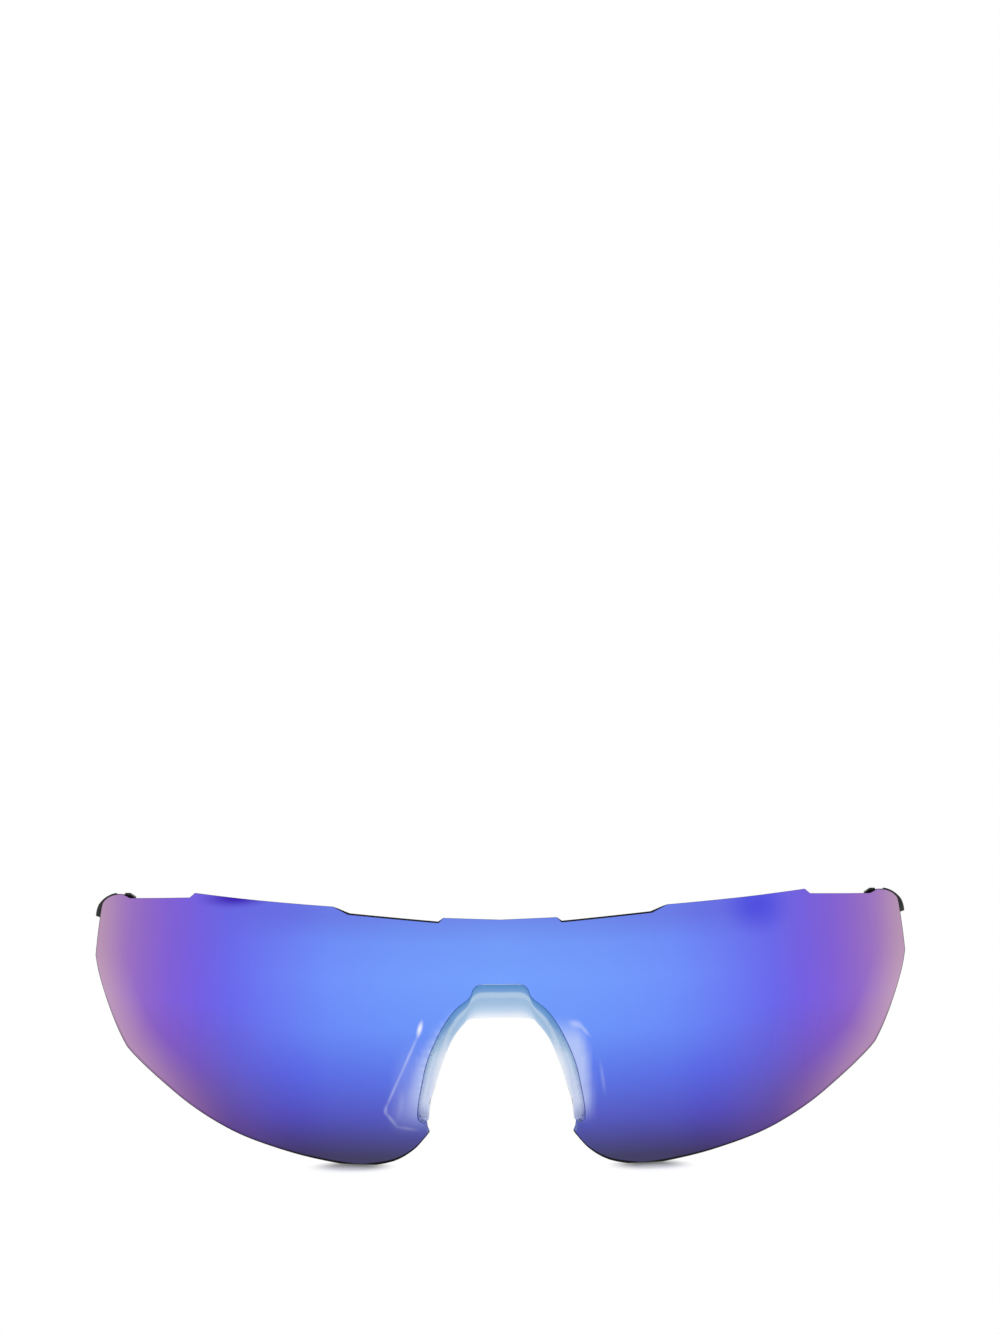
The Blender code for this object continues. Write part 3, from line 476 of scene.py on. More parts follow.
# Painted highlights along the pads' edges, as if seen through the lens: middle, half sizes, tilt and
# strength
PAD_HIGHLIGHTS = (
    ((-14.2 * MM, 24.3 * MM), (0.65 * MM, 2.0 * MM), 15.0, 1.0),
    ((-16.1 * MM, 19.6 * MM), (0.42 * MM, 6.5 * MM), 24.0, 0.3),
    ((-18.9 * MM, 13.4 * MM), (0.42 * MM, 5.2 * MM), 24.0, 0.26),
    ((-20.3 * MM, 9.9 * MM), (0.55 * MM, 1.3 * MM), 4.0, 0.2),
    ((-19.4 * MM, 8.3 * MM), (0.5 * MM, 2.6 * MM), -40.0, 0.2),
    ((-16.6 * MM, 6.7 * MM), (3.0 * MM, 0.5 * MM), 8.0, 0.11),
    ((-17.6 * MM, 11.0 * MM), (0.9 * MM, 4.0 * MM), 10.0, 0.1),
    ((14.6 * MM, 24.0 * MM), (2.2 * MM, 0.5 * MM), 48.0, 0.28),
    ((13.1 * MM, 25.0 * MM), (1.8 * MM, 1.0 * MM), 20.0, 0.3),
    ((17.8 * MM, 15.5 * MM), (0.5 * MM, 4.2 * MM), -8.0, 0.14),
)

# Roughness of a material, here and below: size of the noise that it follows, and its lowest and highest
MIRROR_ROUGHNESS = (9.0 * MM, 0.07, 0.12)


def mirror_material():
    """Blue to violet mirror coating, pale where it nears the lens's outer edge; that pale glow, a fine dark
    line along the lower edge, deeper patches by the top corners, and the pads' glow and highlights are
    painted light and shade.
    """
    s = Shader("mirror_coating")
    coords = s.coordinates()
    x, _, z = s.split(coords)
    across = s.math("ABSOLUTE", s.math("DIVIDE", x, LENS_WIDTH / 2))
    up = s.math("DIVIDE", z, LENS_HEIGHT)
    fade = s.mix(s.spread(across, *OUTER_FADE_SHARES), s.ramp(up, INNER_STOPS), s.ramp(up, OUTER_STOPS))
    colour = s.mix(1.0, s.ramp(across, ACROSS_STOPS), fade, "MULTIPLY")
    edge = s.attribute("edge_distance")
    # Painted light: a pale glow near the lower and outer edge, less of it up the lens
    glow = s.spread(edge, 0.0, EDGE_GLOW_REACH, EDGE_GLOW_STRENGTH, 0.0, "LINEAR")
    glow = s.math("MULTIPLY", glow, s.spread(across, *GLOW_ACROSS_SHARES))
    glow = s.math("MULTIPLY", glow, s.spread(up, *GLOW_UP_SHARES, 1.0, GLOW_TOP_SHARE))
    colour = s.mix(glow, colour, EDGE_GLOW)
    # Painted shade: a fine dark line along the lower edge, fading out up the lens
    shade = s.spread(edge, 0.0, EDGE_SHADE_REACH, EDGE_SHADE_STRENGTH, 0.0)
    shade = s.math("MULTIPLY", shade, s.spread(up, *SHADE_UP_SHARES, 1.0, 0.0))
    colour = s.mix(shade, colour, EDGE_SHADE)
    # Painted reflections: deeper patches by the top corners
    for patch in CORNER_REFLECTIONS:
        colour = s.patched(colour, coords, *patch)
    # Painted glow of the pads, as if seen through the lens beside the clip
    colour = s.mix(s.attribute("pad_glow"), colour, PAD_GLOW_COLOUR)
    # Painted highlights along the pads' edges
    for highlight in PAD_HIGHLIGHTS:
        colour = s.patched(colour, coords, *highlight, PAD_HIGHLIGHT_COLOUR)
    s.set(Base_Color=colour, Metallic=1.0)
    s.rough(coords, *MIRROR_ROUGHNESS, FINE_DETAIL)
    return s.owner


# The lens's edges: their shades, gloss and roughness, and size, depth and strength of the cutter's marks
CUT_EDGE_SHADE = (0.005, 0.005, 0.008, 1.0)
NOSE_EDGE_SHADE = srgb(86, 98, 176)
RAMP_EDGE_SHADE = (0.004, 0.003, 0.005, 1.0)
EDGE_GLOSS = 0.12
EDGE_ROUGHNESS = (0.6 * MM, 0.4, 0.55)
EDGE_MARK = (0.2 * MM, 0.01 * MM, 0.5)


def lens_edge_material(name, colour, gloss=EDGE_GLOSS):
    """Cut edge of the lens, with the fine marks of its cutter."""
    s = Shader(name)
    coords = s.coordinates()
    s.set(Base_Color=colour, Specular_IOR_Level=gloss)
    s.rough(coords, *EDGE_ROUGHNESS)
    s.bump(s.noise(coords, EDGE_MARK[0]), *EDGE_MARK[1:])
    return s.owner


SMOKE_SHADE = (0.02, 0.022, 0.034, 1.0)
SMOKE_ROUGHNESS = (14.0 * MM, 0.06, 0.11)
SMOKE_COAT = (0.6, 0.04)


def smoke_material():
    """Inner face of the lens: dark grey polycarbonate with a faint blue depth."""
    s = Shader("lens_smoke")
    s.set(Base_Color=SMOKE_SHADE)
    s.coat(*SMOKE_COAT)
    s.rough(s.coordinates(), *SMOKE_ROUGHNESS)
    return s.owner


# Colours of the clip by the strength of its painted shade, high over the nose and low beside it
CLIP_TOP_COLOURS = (
    (0.0, srgb(255, 255, 255)), (0.1, srgb(215, 228, 244)), (0.3, srgb(148, 181, 225)),
    (0.45, srgb(105, 148, 198)), (0.75, srgb(48, 98, 178)), (1.0, srgb(18, 74, 158)),
)
CLIP_SIDE_COLOURS = (
    (0.0, srgb(255, 255, 255)), (0.08, srgb(228, 232, 252)), (0.25, srgb(180, 193, 240)),
    (0.5, srgb(130, 146, 212)), (1.0, srgb(52, 64, 150)),
)
CLIP_HUE_HEIGHTS = (9.0 * MM, 22.0 * MM)
CLIP_IOR = 1.08
CLIP_ROUGHNESS = (1.5 * MM, 0.048, 0.072)
CLIP_COAT = (0.5, 0.08)


def clip_material():
    """Clear moulded plastic, coloured by painted shade and a painted highlight read from the clip's points,
    bluer at its top.
    """
    s = Shader("clear_clip")
    coords = s.coordinates()
    clip_shading_pad_cover = s.attribute("clip_shading_pad_cover")
    height = s.spread(s.split(coords)["Z"], *CLIP_HUE_HEIGHTS)
    # Painted shade and highlight of the clear plastic, bluer over the nose
    s.set(Base_Color=s.mix(height, s.ramp(clip_shading_pad_cover, CLIP_SIDE_COLOURS), s.ramp(clip_shading_pad_cover, CLIP_TOP_COLOURS)))
    s.rough(coords, *CLIP_ROUGHNESS)
    s.set(Transmission_Weight=1.0, IOR=CLIP_IOR)
    s.coat(*CLIP_COAT)
    return s.owner


# How much the pads' silicone covers, where it is thin and where it is thick
PAD_COVER = (0.06, 0.24)
PAD_COLOUR = (0.95, 0.97, 1.0, 1.0)
PAD_COAT = (0.3, 0.25)
PAD_ROUGHNESS = (1.2 * MM, 0.3, 0.5)
PAD_GRAIN = (0.25 * MM, 0.01 * MM, 0.4)


def silicone_material():
    """Soft clear silicone: milky where it is thick at its edges, and satin."""
    s = Shader("clear_silicone")
    coords = s.coordinates()
    s.set(Base_Color=PAD_COLOUR, Alpha=s.spread(s.attribute("clip_shading_pad_cover"), 0.0, 1.0, *PAD_COVER))
    s.coat(*PAD_COAT)
    s.rough(coords, *PAD_ROUGHNESS)
    s.bump(s.noise(coords, PAD_GRAIN[0]), *PAD_GRAIN[1:])
    return s.owner


# Moulded black: shade, roughness, size and depth of its grain, and gloss
NYLON = ((0.004, 0.004, 0.0045), (0.32, 0.45), (0.12 * MM, 0.006 * MM), 0.08)
RUBBER = ((0.014, 0.014, 0.015), (0.55, 0.75), (0.2 * MM, 0.015 * MM), 0.3)
# Its bloom: size, detail, weight beside the fine grain, and stops with what the shade is multiplied by
BLOOM = 7.0 * MM
BLOOM_DETAIL = 4.0
BLOOM_SHARE = 0.7
BLOOM_STOPS = ((0.35, 0.75), (0.7, 1.5))
MOULD_GRAIN_STRENGTH = 0.6


def moulded_material(name, shade, roughness, grain, gloss):
    """Moulded black plastic or rubber: fine grain, uneven gloss and a faint bloom."""
    s = Shader(name)
    coords = s.coordinates()
    bloom = s.noise(coords, BLOOM, BLOOM_DETAIL)
    stops = [(stop, tuple(value * level for value in shade) + (1.0,)) for stop, level in BLOOM_STOPS]
    s.set(Base_Color=s.ramp(bloom, stops), Specular_IOR_Level=gloss)
    size, depth = grain
    fine = s.noise(coords, size, FINE_DETAIL)
    weighed = (s.math("MULTIPLY", bloom, BLOOM_SHARE), s.math("MULTIPLY", fine, 1.0 - BLOOM_SHARE))
    s.set(Roughness=s.spread(s.math("ADD", *weighed), *NOISE_RANGE, *roughness))
    s.bump(fine, depth, MOULD_GRAIN_STRENGTH)
    return s.owner


# Brushed steel: stretch of its lines, their fineness, depth and strength, and their shades
STEEL_STRETCH = 0.06
STEEL_LINE = (0.06 * MM, 0.004 * MM, 0.5)
STEEL_STOPS = ((0.3, (0.42, 0.43, 0.44, 1.0)), (0.7, (0.66, 0.67, 0.68, 1.0)))
STEEL_ROUGHNESS = (2.5 * MM, 0.22, 0.4)


def steel_material():
    """Brushed stainless steel: fine upright lines and small changes of gloss."""
    s = Shader("brushed_steel")
    coords = s.coordinates()
    stretch = s.node("Mapping", {"Vector": coords, "Scale": (1.0, 1.0, STEEL_STRETCH)})
    lines = s.noise(stretch.outputs["Vector"], STEEL_LINE[0], FINE_DETAIL)
    s.set(Base_Color=s.ramp(lines, STEEL_STOPS), Metallic=1.0)
    s.rough(coords, *STEEL_ROUGHNESS)
    s.bump(lines, *STEEL_LINE[1:])
    return s.owner


# Lens


def nose_cut():
    """Right half of the nose cut-out: the arch round the clip and its foot, and the lens's toe."""
    arch = face_line(NOSE_ARCH_SHARES)
    return arch, [face_place(share) for share in NOSE_TOE_SHARES]


def divided(line, step):
    """The line with more points, so that no step is longer than this."""
    made = []
    for start, end in zip(line, line[1:]):
        count = max(1, ceil((end - start).length / step))
        made += [start.lerp(end, i / count) for i in range(count)]
    return made + [line[-1]]


def lens_outline():
    """Closed outline of the lens, anticlockwise from the top of its nose cut, with the rim's width."""
    arch, toe = nose_cut()
    lobe = face_line(LOBE_SHARES)
    line, widths = [], []
    for run in (arch + toe, toe[-1:] + lobe[:1]):
        line += divided(run, LENS_STEP)[:-1]
    widths += [NOSE_RIM] * len(line)
    side = divided(lobe + [face_place(CORNER_SHARE)], LENS_STEP)[:-1]
    line += side
    widths += [SIDE_RIM + FOOT_RIM * max(1 - place.y / FOOT_RIM_HEIGHT, 0.0) ** 2 for place in side]
    for shares, rim, link in reversed(list(zip(TOP_RUN_SHARES, TOP_RUN_RIMS, TOP_LINK_RIMS))):
        run = divided(face_line(shares)[::-1], LENS_STEP)
        line += run
        widths += [rim] * (len(run) - 1) + [link]
    other = [Vector((-p.x, p.y)) for p in line[-2:0:-1]]
    return line + other, widths + widths[-2:0:-1]


def distance_from(line):
    """Measure of how far a place on the lens is from the points of a line."""
    tree = KDTree(len(line))
    for i, place in enumerate(line):
        tree.insert(place.to_3d(), i)
    tree.balance()
    return lambda place: tree.find(place.to_3d())[2]


def inner_places(outline, step):
    """Places inside an outline, spread evenly and clear of it."""
    distance = distance_from(outline)
    places = []
    columns = floor(LENS_WIDTH / step)
    for column in range(columns):
        across = (column + 0.5 - columns / 2) * step
        heights = []
        for a, b in zip(outline, outline[1:] + outline[:1]):
            if (a.x - across) * (b.x - across) < 0:
                heights.append(a.y + (b.y - a.y) * (across - a.x) / (b.x - a.x))
        heights.sort()
        for low, high in zip(heights[::2], heights[1::2]):
            count = floor((high - low) / step)
            for i in range(count):
                place = Vector((across, low + (high - low) * (i + 0.5) / count))
                if distance(place) > FILL_CLEAR_SHARE * step:
                    places.append(place)
    return places


# The lens's material slots
FRONT_SLOT, EDGE_SLOT, BACK_SLOT, NOSE_SLOT, RAMP_SLOT = range(5)


def edge_slot(width, other):
    """Material slot of the edge between two points, by the rim's width at each."""
    if width == other == NOSE_RIM:
        return NOSE_SLOT
    return RAMP_SLOT if RAMP_RIM in (width, other) else EDGE_SLOT


def lens_piece():
    """The whole lens: mirrored front face, bevelled rim, cut edge and smoke-coloured inner face."""
    outline, width = lens_outline()
    count = len(outline)
    neighbours = zip(outline[-1:] + outline, outline, outline[1:] + outline[:1], width)
    inset = [point + outward(before, after) * w for before, point, after, w in neighbours]
    inner = inner_places(inset, LENS_STEP)
    made = delaunay_2d_cdt(inset + inner, [], [list(range(count))], 1, WELD_REACH)
    triangles = made[2]
    ranks = [origin[0] for origin in made[3]]
    total = count + len(inner)
    flat = inset + inner
    points = [lens_point(p.x, p.y) for p in flat]
    points += [lens_point(p.x, p.y, LENS_THICKNESS) for p in flat]
    points += [lens_point(p.x, p.y, w * RIM_DEPTH_SHARE) for p, w in zip(outline, width)]
    points += [lens_point(p.x, p.y, LENS_THICKNESS - FINE_RIM) for p in outline]
    faces, slots = [], []
    for a, b, c in triangles:
        a, b, c = ranks[a], ranks[b], ranks[c]
        faces += [(a, b, c), (c + total, b + total, a + total)]
        slots += [FRONT_SLOT, BACK_SLOT]
    for n in range(count):
        m = (n + 1) % count
        rows = [0, 2 * total, 2 * total + count, total]
        for upper, lower in zip(rows, rows[1:]):
            faces.append((upper + m, upper + n, lower + n, lower + m))
        slots += [edge_slot(width[n], width[m])] * 3
    obj = mesh_piece("lens_shield", points, faces, slots, LENS_SHARP_ANGLE)
    mesh = obj.data
    smooth = [(0.0, 0.0, 0.0)] * len(mesh.loops)
    for face in mesh.polygons:
        if face.material_index not in (FRONT_SLOT, BACK_SLOT):
            continue
        turn = 1 if face.material_index == FRONT_SLOT else -1
        for loop in face.loop_indices:
            place = flat[mesh.loops[loop].vertex_index % total]
            outer = lens_point(place.x, place.y) - lens_point(place.x, place.y, LENS_THICKNESS)
            smooth[loop] = outer.normalized() * turn
    mesh.normals_split_custom_set(smooth)
    rest_flat(mesh)
    places = flat * 2 + outline * 2
    for name, measure in (("edge_distance", edge_measure()), ("pad_glow", pad_glow_measure())):
        mark_points(mesh, name, [measure(Vector((abs(p.x), p.y)), p.x < 0) for p in places])
    return obj


# First of the lobe's points along which the painted glow and the painted dark line run
LOWER_EDGE_START = 5


def edge_measure():
    """Measure of how far a place on the lens is from its lower and outer edge."""
    side = face_line(LOBE_SHARES[LOWER_EDGE_START:])
    distance = distance_from(divided(side + [face_place(CORNER_SHARE)], LENS_STEP))
    return lambda place, left: distance(place)


# The pads' painted glow, as if seen through the lens: strength, reach from the clip, what that gains up the
# lens and from what height, width of its fade, or None for all its reach, and heights where it starts, is
# full, wanes and ends
LEFT_PAD_GLOW = (
    (0.6, 3.2 * MM, -6.0 * MM, 0.2, None, (0.12, 0.3, 0.4, 0.66)),
    (0.14, 5.6 * MM, 0.0, 0.0, 2.0 * MM, (0.1, 0.2, 0.34, 0.5)),
)
RIGHT_PAD_GLOW = ((0.62, 1.8 * MM, 7.2 * MM, 0.23, 1.6 * MM, (0.15, 0.26, 0.45, 0.57)),)
# First of the arch's points beside the pads, and the steps between them
PAD_GLOW_START = 4
PAD_GLOW_STEPS = 3


def pad_glow_measure():
    """Measure of how strong the pads' painted glow through the lens is at a place: 0 to 1."""
    arch = face_line(NOSE_ARCH_SHARES[PAD_GLOW_START:], PAD_GLOW_STEPS)
    distance = distance_from(arch)

    def glow_at(place, left):
        gap = distance(place)
        height = place.y / LENS_HEIGHT
        total = 0.0
        for strength, reach, gain, start, fade, shares in LEFT_PAD_GLOW if left else RIGHT_PAD_GLOW:
            reach += gain * max(height - start, 0.0)
            total += strength * held((reach - gap) / (fade or reach)) * bell(height, *shares)
        return total

    return glow_at


def held(value):
    """The value, but no less than 0 and no more than 1."""
    return min(max(value, 0.0), 1.0)


def bell(value, start, full, wane, end):
    """1 between full and wane, falling to 0 at start and end."""
    rise = held((value - start) / (full - start))
    fall = held((end - value) / (end - wane))
    return rise * rise * (3 - 2 * rise) * fall * fall * (3 - 2 * fall)


def rest_flat(mesh):
    """Lays what reaches below the table level flat on it."""
    for vertex in mesh.vertices:
        vertex.co.z = max(vertex.co.z, 0.0)


# Nosepiece and pads

# Section of the clip: share of the way from its outer to its inner edge, and depth
CLIP_SECTION = (
    (0.0, 0.3 * MM), (0.02, 0.18 * MM), (0.05, 0.14 * MM), (0.17, 0.15 * MM), (0.21, 0.22 * MM),
    (0.24, 0.45 * MM), (0.27, 0.52 * MM), (0.37, 0.54 * MM), (0.41, 0.64 * MM), (0.45, 0.9 * MM),
    (0.52, 1.05 * MM), (0.64, 1.25 * MM), (0.76, 1.55 * MM), (0.87, 1.95 * MM), (0.95, 2.4 * MM),
    (0.99, 2.85 * MM), (1.0, 3.2 * MM),
)
CLIP_SECTION_STEPS = 40
CLIP_SECTION_POWER = 1.15
# Shares of the height at which its outer edge, its opening and its flange match
CLIP_BREAK_SHARES = ((0.66, 0.548, 0.7), (0.583, 0.51, 0.6), (0.398, 0.379, 0.4), (0.248, 0.237, 0.248))
CLIP_SEAT = LENS_THICKNESS + FIT_GAP
# Rounding of the edges of the opening, the flange and its seat, in depth and as shares of the section
OPENING_EASE = 0.3 * MM
OPENING_EASE_END = 0.08 * MM
OPENING_EASE_SHARES = (0.03, 0.1)
FLANGE_EASE = 0.2 * MM
SEAT_EASE = 0.3 * MM
SEAT_EASE_SHARE = 0.08
# Strength of the clip's painted shade by distance from its outer edge, over the nose and beside it, and the
# heights between which one turns into the other; over the nose a paler band near the edge is a painted
# highlight
CLIP_TOP_SHADING = (
    (0.0, 1.0), (0.5 * MM, 0.95), (1.1 * MM, 0.78), (1.3 * MM, 0.72), (1.5 * MM, 0.43),
    (2.2 * MM, 0.42), (2.5 * MM, 0.54), (3.2 * MM, 0.5), (4.2 * MM, 0.38), (4.7 * MM, 0.31),
    (5.2 * MM, 0.21), (5.7 * MM, 0.13), (6.2 * MM, 0.05), (6.6 * MM, 0.0),
)
CLIP_SIDE_SHADING = (
    (0.0, 0.62), (0.3 * MM, 0.55), (0.6 * MM, 0.36), (0.9 * MM, 0.3), (1.2 * MM, 0.31),
    (1.7 * MM, 0.2), (2.4 * MM, 0.1), (3.0 * MM, 0.04), (3.4 * MM, 0.0),
)
CLIP_SIDE_HEIGHTS = (20.0 * MM, 27.0 * MM)
# Painted shade added at the foot, by height, and how far in from the outer edge
CLIP_FOOT_SHADING = ((7.0 * MM, 0.8), (9.0 * MM, 0.5), (11.5 * MM, 0.0))
CLIP_FOOT_REACH = 2.2 * MM


def looked_up(table, value):
    """Value read from a table of pairs, in straight steps."""
    for (start, low), (end, high) in zip(table, table[1:]):
        if value <= end:
            return low + (high - low) * max(value - start, 0.0) / (end - start)
    return table[-1][1]


def clip_piece():
    """The clear nosepiece: a bead round its front, a step, a hollow to its opening, and a flange behind."""
    arch, _ = nose_cut()
    rim = offset_line(arch, -CLIP_SEAM)
    rim[0].x = 0.0
    opening = face_line(OPENING_SHARES)
    flange = offset_line(arch, FLANGE_WIDTH)
    flange[0].x = 0.0

    def at(line, height):
        return min(range(1, len(line) - 1), key=lambda i: abs(line[i].y - face_place((0, height)).y))

    breaks = [(0, 0, 0)]
    for shares in CLIP_BREAK_SHARES:
        breaks.append(tuple(at(line, share) for line, share in zip((rim, opening, flange), shares)))
    breaks.append((len(rim) - 1, len(opening) - 1, len(flange) - 1))
    rim, opening, flange = matched([rim, opening, flange], breaks, CLIP_STEP)
    rings, clip_shadings = [], []
    for a, b, c in zip(rim, opening, flange):
        wide = (b - a).length
        low, high = CLIP_SIDE_HEIGHTS
        top = held((a.y - low) / (high - low))
        ring, clip_shading_pad_cover = [], []
        for i in range(CLIP_SECTION_STEPS + 1):
            share = (i / CLIP_SECTION_STEPS) ** CLIP_SECTION_POWER
            place = a.lerp(b, share)
            ring.append(lens_point(place.x, place.y, looked_up(CLIP_SECTION, share)))
            far = share * wide
            # Painted shade and highlight by distance from the outer edge, beside the nose and over it
            beside = looked_up(CLIP_SIDE_SHADING, far)
            beside += looked_up(CLIP_FOOT_SHADING, a.y) * max(1 - far / CLIP_FOOT_REACH, 0.0)
            clip_shading_pad_cover.append(beside + (looked_up(CLIP_TOP_SHADING, far) - beside) * top)
        for place, depth in (
            (b, CLIP_BACK - OPENING_EASE), (b.lerp(a, OPENING_EASE_SHARES[0]), CLIP_BACK - OPENING_EASE_END),
            (b.lerp(a, OPENING_EASE_SHARES[1]), CLIP_BACK), (c, CLIP_BACK), (c, CLIP_BACK - FLANGE_EASE),
            (c, LENS_THICKNESS + SEAT_EASE), (c.lerp(a, SEAT_EASE_SHARE), CLIP_SEAT), (a, CLIP_SEAT),
        ):
            ring.append(lens_point(place.x, place.y, depth))
            clip_shading_pad_cover.append(0.0)
        rings.append(ring)
        clip_shadings.append(clip_shading_pad_cover)
    other = [[Vector((-p.x, p.y, p.z)) for p in ring] for ring in rings[:0:-1]]
    obj = lofted("nosepiece", other + rings, CLIP_SHARP_ANGLE)
    mark_points(obj.data, "clip_shading_pad_cover", sum(clip_shadings[:0:-1] + clip_shadings, []))
    return obj


def pad_surface(column, row):
    """Middle surface of the right nose pad: column 0 to 1 down it, row 0 to 1 from the clip back."""
    front = point_along(face_line(PAD_FRONT_SHARES), column)
    rear = point_along(face_line(PAD_REAR_SHARES), column)
    start = lens_point(front.x, front.y, CLIP_BACK)
    across = start.lerp(Vector((rear.x, start.y, rear.y)), row)
    return across + Vector((-PAD_BULGE * sin(pi * row), PAD_DEPTH * row, 0.0))


PAD_COLUMNS = 26
PAD_ROWS = 18
PAD_END_POWER = 5
PAD_EDGE_POWER = 6
PAD_REAR_POWER = 3
# Shares of the pad: least thickness at its ends and rear edge, what it loses in breadth at its ends and in
# thickness beside its middle, and its gap to the clip
PAD_END_SHARE = 0.12
PAD_EDGE_SHARE = 0.1
PAD_CORNER_SHARE = 0.1
PAD_WANE_SHARE = 0.08
PAD_START_SHARE = 0.012
# Half the span over which the slope of its surface is taken
PAD_SLOPE_SHARE = 0.02


def pad_piece():
    """The right nose pad: a soft clear blade, thick in the middle and round at its edges."""
    span = PAD_SLOPE_SHARE
    rings, values = [], []
    for j in range(PAD_COLUMNS + 1):
        share = j / PAD_COLUMNS
        end = sqrt(1 - abs(2 * share - 1) ** PAD_END_POWER)
        thick = PAD_THICKNESS / 2 * max(end, PAD_END_SHARE)
        ring_front, ring_back = [], []
        for i in range(PAD_ROWS + 1):
            row = PAD_START_SHARE + (1 - PAD_START_SHARE) * (1 - cos(pi * i / PAD_ROWS)) / 2
            row = 0.5 + (row - 0.5) * (1 - PAD_CORNER_SHARE * (1 - end))
            middle = pad_surface(share, row)
            along = pad_surface(min(share + span, 1.0), row) - pad_surface(max(share - span, 0.0), row)
            ahead = pad_surface(share, row + span) - pad_surface(share, row - span)
            normal = along.cross(ahead).normalized()
            edge = sqrt(1 - max(2 * row - 1, 0.0) ** PAD_EDGE_POWER)
            half = thick * max(edge, PAD_EDGE_SHARE) * (1 - PAD_WANE_SHARE * (1 - sin(pi * row)))
            ring_front.append(middle + normal * half)
            ring_back.append(middle - normal * half)
        rings.append(ring_front + ring_back[::-1])
        rear = [max(2 * i / PAD_ROWS - 1, 0.0) ** PAD_REAR_POWER for i in range(PAD_ROWS + 1)]
        values += [max(clip_shading_pad_cover, max(2 * share - 1, 0.0) ** PAD_EDGE_POWER) for clip_shading_pad_cover in rear + rear[::-1]]
    obj = lofted("nose_pad", rings, PAD_SHARP_ANGLE)
    mark_points(obj.data, "clip_shading_pad_cover", values)
    return obj


# Temples


def tip_extent(down, back):
    """How far the grip's rounded end reaches from its last point: down and back are 1 or 0."""
    reaches = []
    for along, size in TIP_DOME_SHARES:
        short = (1 - along) * TIP_DOME
        half = size * GRIP_HEIGHT / 2
        reaches.append(
            down * (half * cos(EAR_SLOPE) - short * sin(EAR_SLOPE))
            + back * (half * sin(EAR_SLOPE) - short * cos(EAR_SLOPE))
        )
    return max(reaches)


CORNER = lens_point(*face_place(CORNER_SHARE))
INNER_FACE = CORNER.x + LIP_REACH - ENDPIECE_WIDTH
REAR_FACE = CORNER.y + ENDPIECE_LENGTH
TEMPLE_Z = CORNER.z + LIP_RISE - ENDPIECE_HEIGHT / 2 - TEMPLE_DROP
TURNED = EAR_RADIUS * (EAR_SLOPE - TEMPLE_SLOPE)


def temple_lengths():
    """Lengths of the temple's straight arm, its bend and its straight end, so that it reaches the table."""
    back = FOREMOST + OVERALL_DEPTH - tip_extent(0, 1) - REAR_FACE - END_GAP
    back -= EAR_RADIUS * (sin(EAR_SLOPE) - sin(TEMPLE_SLOPE))
    down = TEMPLE_Z - tip_extent(1, 0) + GRIP_REST_CUT
    down -= EAR_RADIUS * (cos(TEMPLE_SLOPE) - cos(EAR_SLOPE))
    spread = sin(EAR_SLOPE - TEMPLE_SLOPE)
    arm = (back * sin(EAR_SLOPE) - down * cos(EAR_SLOPE)) / spread
    end = (down * cos(TEMPLE_SLOPE) - back * sin(TEMPLE_SLOPE)) / spread
    return arm, end


ARM, END = temple_lengths()
TOTAL = ARM + TURNED + END
MOUTH = TOTAL - GRIP_LENGTH


def temple_frame(along):
    """Middle of the right temple at a length along it, and its upward direction there."""
    slope = TEMPLE_SLOPE + min(max(along - ARM, 0.0), TURNED) / EAR_RADIUS
    straight = min(along, ARM)
    back = straight * cos(TEMPLE_SLOPE) + EAR_RADIUS * (sin(slope) - sin(TEMPLE_SLOPE))
    down = straight * sin(TEMPLE_SLOPE) + EAR_RADIUS * (cos(TEMPLE_SLOPE) - cos(slope))
    last = max(along - ARM - TURNED, 0.0)
    share = max(along - TOE_IN_START, 0.0) / (TOTAL - TOE_IN_START)
    middle = Vector((
        INNER_FACE + TEMPLE_THICKNESS / 2 - TOE_IN * share ** TOE_IN_POWER,
        REAR_FACE + END_GAP + back + last * cos(slope),
        TEMPLE_Z - down - last * sin(slope),
    ))
    tilt = slope * held(along / TOE_IN_START)
    return middle, Vector((0.0, sin(tilt), cos(tilt)))


def section(along, thickness, height, radius, steps):
    """Ring of points round the right temple at a length along it, with round corners."""
    middle, up = temple_frame(along)
    ring = []
    for corner, (across, rise) in enumerate(((1, 1), (-1, 1), (-1, -1), (1, -1))):
        for step in range(steps):
            turn = pi / 2 * (corner + step / (steps - 1))
            aside = across * (thickness / 2 - radius) + radius * cos(turn)
            above = rise * (height / 2 - radius) + radius * sin(turn)
            ring.append(middle + Vector((aside, 0.0, 0.0)) + up * above)
    return ring


def stations(start, end, step):
    """Evenly spaced lengths from start to end, no further apart than a step."""
    count = max(1, ceil((end - start) / step))
    return [start + (end - start) * i / count for i in range(count + 1)]


# The arm's eased ends, where its even sections start, how far apart they are, and its corners
ARM_EASE = 0.35 * MM
ARM_EASE_SHARE = 0.3
ARM_START = 2.0 * MM
ARM_STEP = 1.6 * MM
ARM_CORNER_SHARE = 0.3
ARM_CORNER_STEPS = 7


